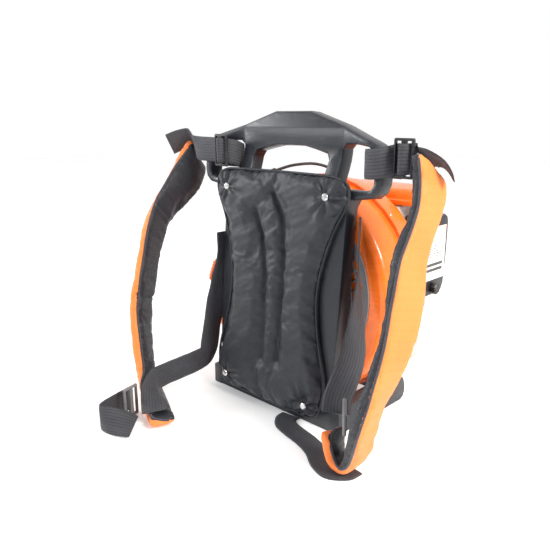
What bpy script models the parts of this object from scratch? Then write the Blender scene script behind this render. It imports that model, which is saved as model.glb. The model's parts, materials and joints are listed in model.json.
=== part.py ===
"""Backpack leaf blower, sub-part by sub-part. Metres, +Z up, the wearer's side faces -Y."""
import math

import bmesh
import bpy
from mathutils import Matrix, Vector

for old in list(bpy.data.objects):
    bpy.data.objects.remove(old, do_unlink=True)

# Driving dimensions
GAP = 0.0003
LEAN = 0.077  # how far the back plate goes back for each metre of height
ORIGIN_Y = 0.0741  # brings the middle of the whole to the origin
PLATE_Y = -0.100  # front of the back plate at floor level
PLATE_T = 0.028
PLATE_WALL = 0.006
FAN_Z = 0.195  # height of the shaft
FAN_Y0 = -0.045
FAN_SPLIT = 0.018
FAN_Y1 = 0.068
FAN_WALL = 0.003
DUCT_DIR = (-0.906, 0.423)  # where the outlet duct points, in X and Z
DUCT = Vector((DUCT_DIR[0], 0, DUCT_DIR[1]))
DUCT_END = (-0.1766, 0.1239)
STUB_R = 0.041
GRILLE_R = 0.150
STRAP_W = 0.040
STRAP_T = 0.0022
CUSHION_T = 0.0175
FOOT_X = (0.119, 0.141)
MOUNT_X = 0.088
MOUNT_Z = (0.076, 0.316)

PARTS = bpy.data.collections.new("leaf_blower")
CUTTERS = bpy.data.collections.new("cutters")
for group in (PARTS, CUTTERS):
    bpy.context.scene.collection.children.link(group)


# ---------------------------------------------------------------- materials
def material(name, colour, rough, metal=0.0):
    """A Principled material, made once."""
    mat = bpy.data.materials.get(name)
    if mat is None:
        mat = bpy.data.materials.new(name)
        mat.use_nodes = True
        shader = mat.node_tree.nodes["Principled BSDF"]
        shader.inputs["Base Color"].default_value = (*colour, 1)
        shader.inputs["Roughness"].default_value = rough
        shader.inputs["Metallic"].default_value = metal
    return mat


def frame_plastic():
    return material("frame_plastic", (0.055, 0.060, 0.068), 0.48)


def black_plastic():
    return material("black_plastic", (0.030, 0.032, 0.036), 0.45)


def orange_plastic():
    return material("orange_plastic", (0.95, 0.20, 0.02), 0.30)


def grey_plastic():
    return material("grey_plastic", (0.30, 0.29, 0.31), 0.50)


def light_plastic():
    return material("light_plastic", (0.78, 0.79, 0.80), 0.40)


def label_white():
    return material("label_white", (0.90, 0.90, 0.90), 0.35)


def cast_alloy():
    return material("cast_alloy", (0.55, 0.56, 0.57), 0.45, 1.0)


def steel():
    return material("steel", (0.62, 0.62, 0.62), 0.30, 1.0)


def dark_steel():
    return material("dark_steel", (0.16, 0.16, 0.17), 0.45, 1.0)


def rubber():
    return material("rubber", (0.020, 0.020, 0.022), 0.80)


def nylon_black():
    return material("nylon_black", (0.038, 0.043, 0.052), 0.70)


def nylon_orange():
    return material("nylon_orange", (0.95, 0.24, 0.04), 0.65)


def webbing():
    return material("webbing", (0.050, 0.048, 0.048), 0.80)


def foam():
    return material("foam", (0.08, 0.08, 0.09), 0.95)


# ---------------------------------------------------------------- helpers
def link(obj, mat):
    """A part goes in its collection; a shape without a material is a cutter."""
    if mat is None:
        CUTTERS.objects.link(obj)
        obj.hide_render = True
        obj.display_type = "WIRE"
    else:
        PARTS.objects.link(obj)
        obj.data.materials.append(mat)
    return obj


def mesh_of(bm, name, mat):
    """A mesh object from a bmesh, smooth where it is round."""
    mesh = bpy.data.meshes.new(name)
    bm.to_mesh(mesh)
    bm.free()
    mesh.shade_smooth()
    mesh.set_sharp_from_angle(angle=math.radians(35))
    return link(bpy.data.objects.new(name, mesh), mat)


def basis(centre, x, y):
    """A placement from two directions; the third is across them."""
    x, y = Vector(x).normalized(), Vector(y).normalized()
    turn = Matrix((x, y, x.cross(y))).transposed().to_4x4()
    return Matrix.Translation(Vector(centre)) @ turn


def along(centre, axis):
    """A placement whose local Z runs along an axis."""
    return Matrix.Translation(Vector(centre)) @ Vector(axis).to_track_quat("Z", "Y").to_matrix().to_4x4()


def boxes(name, spans, mat=None, place=None):
    """Boxes in one mesh; each span is (x0, x1, y0, y1, z0, z1)."""
    bm = bmesh.new()
    mid = Vector((0, 0, 0))
    if len(spans) == 1:
        mid = Vector([(spans[0][i] + spans[0][i + 1]) / 2 for i in (0, 2, 4)])
    for x0, x1, y0, y1, z0, z1 in spans:
        move = Matrix.Translation(Vector(((x0 + x1) / 2, (y0 + y1) / 2, (z0 + z1) / 2)) - mid)
        size = Matrix.Diagonal((x1 - x0, y1 - y0, z1 - z0, 1))
        bmesh.ops.create_cube(bm, size=1, matrix=move @ size)
    obj = mesh_of(bm, name, mat)
    obj.matrix_world = (place or Matrix()) @ Matrix.Translation(mid)
    return obj


def rod(name, start, end, radius, mat=None, steps=16):
    """A plain cylinder from start to end."""
    start, end = Vector(start), Vector(end)
    bm = bmesh.new()
    bmesh.ops.create_cone(
        bm, cap_ends=True, segments=steps, radius1=radius, radius2=radius, depth=(end - start).length
    )
    obj = mesh_of(bm, name, mat)
    obj.matrix_world = along((start + end) / 2, end - start)
    return obj


def lathe(name, profile, centre, axis, mat=None, steps=24):
    """A profile of (radius, along) turned about an axis with a Screw modifier. It starts and
    ends on the axis, or it is a closed ring."""
    area = sum(p[0] * q[1] - q[0] * p[1] for p, q in zip(profile, profile[1:] + profile[:1]))
    if area > 0:
        profile = profile[::-1]
    bm = bmesh.new()
    verts = [bm.verts.new((r, 0, z)) for r, z in profile]
    for v, w in zip(verts, verts[1:]):
        bm.edges.new((v, w))
    if profile[0][0] > 0:
        bm.edges.new((verts[-1], verts[0]))
    obj = mesh_of(bm, name, mat)
    obj.matrix_world = along(centre, axis)
    screw = obj.modifiers.new("turn", "SCREW")
    screw.axis = "Z"
    screw.steps = steps
    screw.render_steps = steps
    screw.use_merge_vertices = True
    screw.merge_threshold = 0.00005
    screw.use_smooth_shade = True
    return obj


def to_mesh(obj, name):
    """A curve as a welded mesh object, so that it can be cut."""
    bpy.context.view_layer.update()
    graph = bpy.context.evaluated_depsgraph_get()
    bm = bmesh.new()
    mesh = bpy.data.meshes.new_from_object(obj.evaluated_get(graph))
    bm.from_mesh(mesh)
    bpy.data.meshes.remove(mesh)
    bmesh.ops.remove_doubles(bm, verts=bm.verts, dist=0.00005)
    bmesh.ops.recalc_face_normals(bm, faces=bm.faces)
    place, mats = obj.matrix_world.copy(), list(obj.data.materials)
    bpy.data.objects.remove(obj, do_unlink=True)
    new = mesh_of(bm, name, mats[0] if mats else None)
    new.matrix_world = place
    return new


def outline(name, loops, low, high, place, mat=None, rounding=0.0, resolution=1):
    """A flat outline with holes, from low to high along local Z, with rounded edges."""
    data = bpy.data.curves.new(name, "CURVE")
    data.dimensions = "2D"
    data.fill_mode = "BOTH"
    data.extrude = (high - low) / 2 - rounding
    data.bevel_depth = rounding
    data.bevel_resolution = resolution
    data.offset = -rounding
    for loop in loops:
        spline = data.splines.new("POLY")
        spline.points.add(len(loop) - 1)
        spline.use_cyclic_u = True
        for q, (x, y) in zip(spline.points, loop):
            q.co = (x, y, 0, 1)
    obj = link(bpy.data.objects.new(name, data), mat)
    obj.matrix_world = place @ Matrix.Translation((0, 0, (low + high) / 2))
    return to_mesh(obj, name)


def cut(obj, cutter, operation="DIFFERENCE"):
    """An exact boolean with a hidden shape."""
    mod = obj.modifiers.new(operation.lower(), "BOOLEAN")
    mod.operation = operation
    mod.solver = "EXACT"
    mod.object = cutter
    return obj


def bevel(obj, width, segments=2):
    mod = obj.modifiers.new("bevel", "BEVEL")
    mod.width = width
    mod.segments = segments
    mod.limit_method = "ANGLE"
    mod.angle_limit = math.radians(35)
    return obj


def offset(loop, amount):
    """An anticlockwise loop of (a, b) points moved inwards by amount, mitred at its corners."""
    out = []
    n = len(loop)
    for i in range(n):
        p0, p1, p2 = Vector(loop[i - 1]), Vector(loop[i]), Vector(loop[(i + 1) % n])
        d0, d1 = (p1 - p0).normalized(), (p2 - p1).normalized()
        n0, n1 = Vector((-d0.y, d0.x)), Vector((-d1.y, d1.x))
        m = (n0 + n1).normalized()
        out.append(p1 + m * (amount / max(0.5, m.dot(n0))))
    return out


def shell(name, loop, rings, wall, rounding, place, mat):
    """A thin-walled cover: an open skin through rings of (depth, inset) from the open edge
    to a flat face whose rim is rounded, then Solidify."""
    bm = bmesh.new()
    rows = [[bm.verts.new((p.x, p.y, z)) for p in offset(loop, inset)] for z, inset in rings]
    n = len(loop)
    for low, high in zip(rows, rows[1:]):
        for i in range(n):
            j = (i + 1) % n
            bm.faces.new((low[i], low[j], high[j], high[i]))
    bm.faces.new(rows[-1])
    if rings[-1][0] < rings[0][0]:
        bmesh.ops.reverse_faces(bm, faces=bm.faces)
    weight = bm.edges.layers.float.new("bevel_weight_edge")
    for i in range(n):
        bm.edges.get((rows[-1][i], rows[-1][(i + 1) % n]))[weight] = 1.0
    obj = mesh_of(bm, name, mat)
    obj.matrix_world = place
    mod = obj.modifiers.new("rim", "BEVEL")
    mod.width = rounding
    mod.segments = 3
    mod.limit_method = "WEIGHT"
    mod = obj.modifiers.new("wall", "SOLIDIFY")
    mod.solidify_mode = "NON_MANIFOLD"
    mod.nonmanifold_thickness_mode = "CONSTRAINTS"
    mod.thickness = wall
    mod.offset = -1
    return obj


def mirrored(half):
    """A closed loop from its right half, listed from the bottom up."""
    left = [(-x, z) for x, z in reversed(half) if x > 1e-6]
    return half + left


def path_of(points, per=4):
    """A smooth path of points through the given ones."""
    pts = [Vector(p) for p in points]
    ends = [pts[0] * 2 - pts[1]] + pts + [pts[-1] * 2 - pts[-2]]
    out = []
    for p0, p1, p2, p3 in zip(ends, ends[1:], ends[2:], ends[3:]):
        for k in range(per):
            t = k / per
            slope = (p2 - p0) * t
            curve = (2 * p0 - 5 * p1 + 4 * p2 - p3) * t * t + (3 * p1 - p0 - 3 * p2 + p3) * t**3
            out.append(p1 + 0.5 * (slope + curve))
    out.append(pts[-1])
    return out


def banded(name, rows, thick, mat, rounding=0.0):
    """A strip between two edges, given thickness by Solidify. Rows are pairs of points."""
    bm = bmesh.new()
    made = [(bm.verts.new(a), bm.verts.new(b)) for a, b in rows]
    for (a, b), (c, d) in zip(made, made[1:]):
        bm.faces.new((a, b, d, c))
    obj = mesh_of(bm, name, mat)
    mod = obj.modifiers.new("thickness", "SOLIDIFY")
    mod.thickness = thick
    mod.offset = 0
    mod.use_even_offset = True
    if rounding:
        bevel(obj, rounding, 1)
    return obj


def ribbon(name, points, across, width, thick, mat, per=3, rounding=0.0):
    """A strip along a path. Across gives its width direction at each given point, and width is
    one number or one for each point."""
    path = path_of(points, per)
    dirs = path_of(across, per)
    widths = [width] * len(points) if isinstance(width, float) else width
    wide = [w.x for w in path_of([(w, 0, 0) for w in widths], per)]
    rows = []
    for i, p in enumerate(path):
        t = (path[min(i + 1, len(path) - 1)] - path[max(i - 1, 0)]).normalized()
        w = (dirs[i] - t * dirs[i].dot(t)).normalized() * (wide[i] / 2)
        rows.append((p - w, p + w))
    return banded(name, rows, thick, mat, rounding)


def tube(name, points, radius, mat=None):
    """A round flexible line through the given points."""
    data = bpy.data.curves.new(name, "CURVE")
    data.dimensions = "3D"
    data.bevel_depth = radius
    data.bevel_resolution = 2
    data.use_fill_caps = True
    spline = data.splines.new("POLY")
    path = path_of(points, 4)
    spline.points.add(len(path) - 1)
    for q, p in zip(spline.points, path):
        q.co = (*p, 1)
    return link(bpy.data.objects.new(name, data), mat)


FRONT = basis((0, 0, 0), (1, 0, 0), (0, 0, 1))  # local Z is -Y
SIDE = basis((0, 0, 0), (0, 1, 0), (0, 0, 1))  # local Z is +X
PLATE = basis((0, PLATE_Y, 0), (1, 0, 0), (0, LEAN, 1))  # the leaning plate's front face


def ribbed(radius, depth, teeth):
    """A round outline with small grip ribs."""
    loop = []
    for k in range(4 * teeth):
        t = 2 * math.pi * k / (4 * teeth)
        r = radius - (depth if k % 4 in (2, 3) else 0.0)
        loop.append((r * math.cos(t), r * math.sin(t)))
    return loop


# ---------------------------------------------------------------- back frame
def plate_loops():
    """The outline of the back plate with its carrying arch, finger opening and strap eyes."""
    outer = mirrored([
        (0.104, 0.034), (0.116, 0.040), (0.121, 0.052), (0.125, 0.100), (0.126, 0.200),
        (0.126, 0.300), (0.127, 0.335), (0.133, 0.347), (0.152, 0.350), (0.166, 0.352),
        (0.176, 0.360), (0.180, 0.372), (0.180, 0.400), (0.176, 0.414), (0.167, 0.424),
        (0.156, 0.429), (0.095, 0.450), (0.036, 0.468),
    ])
    grip = mirrored([
        (0.062, 0.350), (0.070, 0.355), (0.0735, 0.368), (0.0755, 0.385), (0.0765, 0.399),
        (0.072, 0.4075), (0.050, 0.4130), (0.028, 0.4175), (0.0, 0.4180),
    ])
    eye = [
        (0.101, 0.367), (0.106, 0.361), (0.152, 0.361), (0.161, 0.364), (0.165, 0.371),
        (0.165, 0.405), (0.160, 0.4145), (0.151, 0.4195), (0.128, 0.4225), (0.108, 0.4225),
        (0.101, 0.416),
    ]
    return [outer, grip[::-1], eye[::-1], [(-x, z) for x, z in eye]]


def back_plate():
    """One moulding: plate, side flanges, ribs, arched handle and two strap eyes."""
    obj = outline("back_plate", plate_loops(), -PLATE_T, 0.0, PLATE, frame_plastic(), 0.005, 1)
    bm = bmesh.new()
    bm.from_mesh(obj.data)
    cuts = [((0, h, 0), (0, 1, 0)) for h in (0.352, 0.364, 0.376, 0.388, 0.400, 0.412)]
    cuts += [((x, 0, 0), (1, 0, 0)) for x in (-0.150, -0.133, -0.116, -0.100, 0.100, 0.116, 0.133, 0.150)]
    for spot, across in cuts:
        geom = bm.verts[:] + bm.edges[:] + [f for f in bm.faces if f.calc_center_median().y > 0.2]
        bmesh.ops.bisect_plane(bm, geom=geom, dist=1e-5, plane_co=spot, plane_no=across)
    for v in bm.verts:
        x, h, z = v.co
        rise = min(1.0, max(0.0, (h - 0.352) / 0.06))
        rise = rise * rise * (3 - 2 * rise) * min(1.0, max(0.0, (0.150 - abs(x)) / 0.05))
        v.co.z = z - 0.014 * rise
    bm.to_mesh(obj.data)
    bm.free()
    rows = ((0.042, 0.118), (0.123, 0.218), (0.223, 0.300), (0.305, 0.341))
    cols = ((-0.118, -0.063), (-0.059, -0.002), (0.002, 0.059), (0.063, 0.118))
    spans = [(x0, x1, z0, z1, -PLATE_T - 0.01, -PLATE_WALL) for z0, z1 in rows for x0, x1 in cols]
    cut(obj, boxes("plate_pockets", spans, None, PLATE))
    return cut(obj, rod("grille_clearance", (0, -0.0495, FAN_Z), (0, 0.01, FAN_Z), GRILLE_R + 0.003, None, 48))


def base_frame():
    """Two runners and two cross bars, joined."""
    body = boxes("base_frame", [(-0.1215, 0.1215, -0.0955, -0.062, 0.0005, 0.0310)], frame_plastic())
    for side, top in ((1, 0.044), (-1, 0.036)):
        profile = [
            (-0.096, 0.0), (0.070, 0.0), (0.078, 0.004), (0.082, 0.014), (0.081, top - 0.018),
            (0.076, top - 0.006), (0.066, top), (-0.040, top), (-0.096, 0.034),
        ]
        low, high = sorted((side * FOOT_X[0], side * FOOT_X[1]))
        cut(body, outline("runner", [profile], low, high, SIDE, None, 0.003, 1), "UNION")
    cut(body, boxes("rear_bar", [(-0.1215, 0.1215, 0.0715, 0.0800, 0.0005, 0.0300)]), "UNION")
    return cut(body, boxes("rear_shelf", [(-0.085, 0.085, 0.076, 0.112, 0.006, 0.0345)]), "UNION")


def base_bolt(name, x):
    """A hexagon flange bolt through the front bar into the plate."""
    profile = [(0, 0), (0.0070, 0), (0.0070, 0.0015), (0.0050, 0.0015), (0.0050, 0.005), (0, 0.005)]
    return lathe(name, profile, (x, -0.062 + GAP, 0.018), (0, 1, 0), steel(), 6)


def vibration_mount(name, x, z):
    """A waisted rubber buffer between the plate and the fan housing."""
    y0 = PLATE_Y + LEAN * (z + 0.011) + PLATE_WALL + 2 * GAP
    long = FAN_Y0 - GAP - y0
    profile = [
        (0, 0), (0.011, 0), (0.011, 0.004), (0.0085, 0.008), (0.0085, long - 0.008),
        (0.011, long - 0.004), (0.011, long), (0, long),
    ]
    return lathe(name, profile, (x, y0, z), (0, 1, 0), rubber(), 12)


# ---------------------------------------------------------------- fan
def scroll_point(deg, out=0.0):
    """A point of the spiral, whose radius grows clockwise from 175 degrees."""
    knots = ((175, 0.150), (120, 0.162), (60, 0.174), (0, 0.181), (-60, 0.183), (-115, 0.184))
    for (t0, r0), (t1, r1) in zip(knots, knots[1:]):
        if t1 <= deg <= t0:
            r = r0 + (r1 - r0) * (deg - t0) / (t1 - t0) + out
    t = math.radians(deg)
    return (r * math.cos(t), FAN_Z + r * math.sin(t))


def scroll_loop():
    """The fan housing's outline from the wearer's side: the spiral, then the straight duct."""
    spiral = [scroll_point(175 - 10 * k) for k in range(29)] + [scroll_point(-115)]
    low = spiral[-1]
    end_low = (low[0] + DUCT_DIR[0] * 0.130, low[1] + DUCT_DIR[1] * 0.130)
    end_high = (end_low[0] + DUCT_DIR[1] * 0.090, end_low[1] - DUCT_DIR[0] * 0.090)
    return (spiral + [end_low, end_high])[::-1]


def duct_trim():
    """Takes the split flange off the flat end of the duct."""
    place = basis((DUCT_END[0], 0, DUCT_END[1]), DUCT, (0, 1, 0))
    return boxes("duct_trim", [(0, 0.03, -0.08, 0.09, -0.08, 0.08)], None, place)


def fan_housing(name, face, hole):
    """One half of the volute, from the split plane to its flat face."""
    s = 1 if face > FAN_SPLIT else -1
    lip = -(FAN_SPLIT + s * (0.00015 + FAN_WALL))
    rings = [(lip, -0.006), (lip, 0.0), (-face, 0.0)]
    obj = shell(name, scroll_loop(), rings, FAN_WALL, 0.013, FRONT, orange_plastic())
    mid = (DUCT_END[0], (FAN_Y0 + FAN_Y1) / 2, DUCT_END[1])
    start, end = Vector(mid) - DUCT * 0.03, Vector(mid) + DUCT * 0.04
    cut(obj, rod("duct_bore", start, end, 0.0370, None, 24))
    cut(obj, duct_trim())
    a, b = (0, face - 0.02, FAN_Z), (0, face + 0.02, FAN_Z)
    return cut(obj, rod("face_bore", a, b, hole, None, 40 if hole > 0.05 else 16))


def housing_screw(name, deg):
    """A screw head on the split flange."""
    x, z = scroll_point(deg, 0.0029)
    profile = [(0, 0), (0.0028, 0), (0.0028, 0.003), (0, 0.003)]
    return lathe(name, profile, (x, FAN_SPLIT + FAN_WALL + 0.0005, z), (0, 1, 0), steel(), 8)


def intake_grille():
    """A round guard of nearly square holes in front of the intake, notched round the mounts."""
    y = FAN_Y0 - GAP
    disc = rod("intake_grille", (0, y - 0.0032, FAN_Z), (0, y, FAN_Z), GRILLE_R, grey_plastic(), 48)
    bm = bmesh.new()
    for radius, count in ((0.045, 12), (0.0695, 18), (0.094, 24), (0.1185, 30)):
        for k in range(count):
            turn = Matrix.Rotation(2 * math.pi * (k + 0.5) / count, 4, "Y")
            wide = 2 * math.pi * radius / count - 0.0065
            spot = Matrix.Translation((radius, y, 0)) @ Matrix.Diagonal((0.0195, 0.02, wide, 1))
            bmesh.ops.create_cube(bm, size=1, matrix=Matrix.Translation((0, 0, FAN_Z)) @ turn @ spot)
    cut(disc, mesh_of(bm, "grille_holes", None))
    for x in (-MOUNT_X, MOUNT_X):
        for z in MOUNT_Z:
            cut(disc, rod("mount_notch", (x, y - 0.01, z), (x, y + 0.01, z), 0.0135, None, 20))
    return disc


def impeller():
    """Hub, back disc and twelve backward-curved blades."""
    y0 = FAN_Y1 - 0.010
    profile = [
        (0.0083, 0.0), (0.0083, -0.045), (0.020, -0.045), (0.024, -0.040), (0.030, -0.012),
        (0.060, -0.004), (0.126, -0.003), (0.126, 0.0),
    ]
    disc = lathe("impeller", profile, (0, y0, FAN_Z), (0, 1, 0), black_plastic(), 36)
    blades = []
    for k in range(12):
        loop = []
        for r in (0.056, 0.080, 0.104, 0.124):
            t = 2 * math.pi * k / 12 - 7.0 * (r - 0.056)
            loop.append((r * math.cos(t), r * math.sin(t)))
        blades.append(loop + [(x + 0.0024 * math.sin(t), z - 0.0024 * math.cos(t)) for x, z in loop[::-1]])
    place = basis((0, 0, FAN_Z), (1, 0, 0), (0, 0, 1))
    return cut(disc, outline("blades", blades, -(y0 - 0.0015), -(y0 - 0.052), place), "UNION")


def outlet_stub():
    """The round air outlet: a flange and a short hollow pipe."""
    profile = [
        (0.0370, 0.0), (0.0445, 0.0), (0.0445, 0.005), (STUB_R, 0.008), (STUB_R, 0.036),
        (STUB_R + 0.0022, 0.037), (STUB_R + 0.0022, 0.041), (STUB_R - 0.0005, 0.043), (0.0370, 0.043),
    ]
    y = (FAN_Y0 + FAN_Y1) / 2
    centre = Vector((DUCT_END[0], y, DUCT_END[1])) + DUCT * GAP
    return lathe("outlet_stub", profile, centre, DUCT, black_plastic(), 24)


def clamp_place(along_duct):
    """A placement on the duct's axis: X along the duct, Y away from the wearer, Z up across."""
    centre = Vector((DUCT_END[0], (FAN_Y0 + FAN_Y1) / 2, DUCT_END[1])) + DUCT * along_duct
    return basis(centre, DUCT, (0, 1, 0))


def outlet_clamp():
    """A band clamp with two lugs on the side nearer the wearer."""
    r0, r1 = STUB_R + 0.0006, STUB_R + 0.0040
    place = clamp_place(0.0185)
    ring = [(r0, 0), (r1, 0), (r1, 0.016), (r0, 0.016)]
    band = lathe("outlet_clamp", ring, place.translation, DUCT, black_plastic(), 24)
    for low in (-0.0105, 0.0035):
        span = (0.0008, 0.0152, -(r1 + 0.0135), -(r1 - 0.0030), low, low + 0.007)
        cut(band, boxes("lug", [span], None, place), "UNION")
    return cut(band, rod("lug_hole", clamp_axis(-0.02), clamp_axis(0.03), 0.0029, None, 12))


def clamp_axis(rise):
    """A point on the clamp bolt's axis."""
    return clamp_place(0.0265) @ Vector((0, -(STUB_R + 0.0105), -rise))


def clamp_knob():
    """A ribbed knob on the clamp bolt."""
    up = (clamp_axis(1.0) - clamp_axis(0.0)).normalized()
    place = basis(clamp_axis(0.0), (0, 1, 0), up.cross(Vector((0, 1, 0))))
    knob = outline("clamp_knob", [ribbed(0.0215, 0.0016, 14)], 0.033, 0.073, place, orange_plastic(), 0.004, 0)
    return cut(knob, rod("clamp_bolt", clamp_axis(-0.0135), clamp_axis(0.0350), 0.0025, None, 12), "UNION")


# ---------------------------------------------------------------- engine
def crankcase():
    profile = [
        (0.0090, 0.0703), (0.030, 0.0703), (0.030, 0.0735), (0.050, 0.0735), (0.052, 0.078),
        (0.052, 0.112), (0.047, 0.1175), (0.022, 0.1175), (0.020, 0.122), (0.0090, 0.122),
    ]
    body = lathe("crankcase", profile, (0, 0, FAN_Z), (0, 1, 0), cast_alloy(), 28)
    span = (-0.027, 0.027, 0.084, 0.1165, FAN_Z + 0.035, 0.2705)
    return cut(body, boxes("cylinder_base", [span]), "UNION")


def cylinder():
    """The finned barrel and head, with a seat for the plug."""
    profile = [(0, 0.0), (0.026, 0.0)]
    for k in range(6):
        z = 0.0027 + 0.0076 * k
        profile += [(0.026, z), (0.0355, z), (0.0355, z + 0.0022), (0.026, z + 0.0022)]
    profile += [(0.026, 0.0483), (0.020, 0.0503), (0, 0.0503)]
    raw = lathe("cylinder", profile, (0, 0.110, 0.2708), (0, 0, 1), cast_alloy(), 16)
    return cut(raw, rod("plug_seat", (0, 0.1340, 0.3165), (0, 0.1600, 0.3165), 0.0075, None, 12))


def crankshaft():
    profile = [(0, 0.005), (0.0078, 0.005), (0.0078, 0.1440), (0.0050, 0.1460), (0, 0.1460)]
    return lathe("crankshaft", profile, (0, 0, FAN_Z), (0, 1, 0), steel(), 16)


def flywheel():
    profile = [
        (0.0082, 0.1260), (0.018, 0.1260), (0.050, 0.1285), (0.054, 0.1300), (0.054, 0.1400),
        (0.046, 0.1400), (0.044, 0.1350), (0.020, 0.1350), (0.018, 0.1420), (0.0082, 0.1420),
    ]
    return lathe("flywheel", profile, (0, 0, FAN_Z), (0, 1, 0), dark_steel(), 24)


def spark_plug():
    profile = [
        (0, 0), (0.0048, 0), (0.0048, 0.0110), (0.0070, 0.0110), (0.0070, 0.0160), (0.0046, 0.0175),
        (0.0042, 0.0285), (0, 0.0285),
    ]
    return lathe("spark_plug", profile, (0, 0.1343, 0.3165), (0, 1, 0), steel(), 12)


def plug_boot():
    """The rubber boot with its lead down to the ignition module."""
    profile = [
        (0, 0.016), (0.0052, 0.0125), (0.0052, 0.0), (0.0088, 0.0), (0.0088, 0.014),
        (0.0050, 0.019), (0, 0.019),
    ]
    boot = lathe("plug_boot", profile, (0, 0.1545, 0.3165), (0, 1, 0), rubber(), 14)
    points = [
        (0, 0.1720, 0.3165), (0, 0.1770, 0.3155), (-0.012, 0.1810, 0.3100), (-0.034, 0.1740, 0.2950),
        (-0.048, 0.1600, 0.2760), (-0.0490, 0.1480, 0.2640), (-0.0500, 0.1420, 0.2590),
    ]
    return cut(boot, to_mesh(tube("plug_lead", points, 0.0026), "plug_lead"), "UNION")


def ignition_module():
    """The coil block beside the flywheel, hollowed to clear the starter cover."""
    body = boxes("ignition_module", [(-0.0580, -0.0420, 0.1250, 0.1550, 0.2485, 0.2665)], black_plastic())
    cut(body, rod("starter_clearance", (0, 0.10, FAN_Z), (0, 0.17, FAN_Z), 0.0712, None, 36))
    return cut(body, rod("lead_socket", (-0.0500, 0.1380, 0.2550), (-0.0480, 0.1640, 0.2790), 0.0046, None, 12))


def muffler():
    raw = boxes("muffler", [(-0.0980, -0.0365, 0.0850, 0.1400, 0.2760, 0.3140)], dark_steel())
    bevel(raw, 0.006, 2)
    return cut(raw, rod("tail_bore", (-0.085, 0.1300, 0.290), (-0.085, 0.1500, 0.290), 0.0050, None, 12))


def muffler_guard():
    """A slotted plastic guard outside the muffler."""
    raw = boxes("muffler_guard", [(-0.1080, -0.1015, 0.0800, 0.1500, 0.2500, 0.3180)], black_plastic())
    bevel(raw, 0.002, 1)
    spans = [(-0.12, -0.095, 0.088 + 0.0135 * k, 0.0955 + 0.0135 * k, 0.262, 0.308) for k in range(4)]
    return cut(raw, boxes("guard_slots", spans))


def carburettor():
    raw = boxes("carburettor", [(0.0365, 0.0825, 0.0960, 0.1240, 0.2740, 0.3080)], cast_alloy())
    bevel(raw, 0.002, 1)
    cut(raw, rod("bulb_seat", (0.0600, 0.1225, 0.2850), (0.0600, 0.1310, 0.2850), 0.0125, None, 16), "UNION")
    return cut(raw, rod("bulb_bore", (0.0600, 0.1238, 0.2850), (0.0600, 0.1400, 0.2850), 0.0102, None, 16))


def primer_bulb():
    profile = [(0, 0), (0.0098, 0), (0.0098, 0.0017), (0.0080, 0.0072), (0.0040, 0.0102), (0, 0.0107)]
    return lathe("primer_bulb", profile, (0.0600, 0.1283, 0.2850), (0, 1, 0), light_plastic(), 16)


def choke_lever():
    """A thumb lever on the filter base, on a short pivot."""
    pivot = Vector((0.0980, 0.1656, 0.2300))
    raw = rod("choke_lever", pivot, pivot + Vector((0, 0.0050, 0)), 0.0070, orange_plastic(), 16)
    return cut(raw, boxes("choke_arm", [(0.0950, 0.1010, 0.1670, 0.1700, 0.2300, 0.2620)]), "UNION")


def filter_base():
    raw = boxes("filter_base", [(0.0840, 0.1115, 0.0800, 0.1650, 0.1850, 0.3200)], light_plastic())
    return bevel(raw, 0.005, 2)


def air_filter():
    raw = boxes("air_filter", [(0.1120, 0.1400, 0.1060, 0.1600, 0.1980, 0.2900)], foam())
    return bevel(raw, 0.004, 1)


def filter_cover():
    """A black box-shaped cover, open towards the engine."""
    loop = [
        (0.0930, 0.1780), (0.1000, 0.1700), (0.1560, 0.1700), (0.1640, 0.1740), (0.1700, 0.1860),
        (0.1740, 0.2400), (0.1740, 0.2900), (0.1710, 0.2990), (0.1640, 0.3030), (0.1040, 0.3030),
        (0.0960, 0.2990), (0.0930, 0.2900),
    ]
    rings = [(0.1119, 0.0), (0.1500, 0.0)]
    raw = shell("filter_cover", loop, rings, 0.0028, 0.005, SIDE, black_plastic())
    return cut(raw, rod("stud_hole", (0.14, 0.1330, 0.1830), (0.16, 0.1330, 0.1830), 0.0036, None, 12))


def filter_knob():
    """The round nut that holds the filter cover."""
    place = basis((0, 0.1330, 0.1830), (0, 1, 0), (0, 0, 1))
    knob = outline("filter_knob", [ribbed(0.0095, 0.0010, 7)], 0.1503, 0.1600, place, black_plastic(), 0.0015, 0)
    return cut(knob, rod("stud", (0.1200, 0.1330, 0.1830), (0.1520, 0.1330, 0.1830), 0.0030, None, 12), "UNION")


def rating_label():
    return boxes("rating_label", [(0.1503, 0.1510, 0.1020, 0.1640, 0.1980, 0.2860)], label_white())


def engine_cover():
    """The orange hood over the cylinder, with a rolled rim."""
    loop = [
        (-0.1100, 0.0900), (-0.1040, 0.0840), (0.0, 0.0815), (0.1240, 0.0840), (0.1400, 0.0900),
        (0.1470, 0.1040), (0.1470, 0.1560), (0.1380, 0.1700), (0.1200, 0.1760), (-0.0900, 0.1800),
        (-0.1050, 0.1740), (-0.1110, 0.1600),
    ]
    rings = [(0.3215, -0.0010), (0.3240, -0.0025), (0.3290, -0.0025), (0.3310, 0.0), (0.3465, 0.0)]
    return shell("engine_cover", loop, rings, 0.0028, 0.009, Matrix(), orange_plastic())


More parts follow.
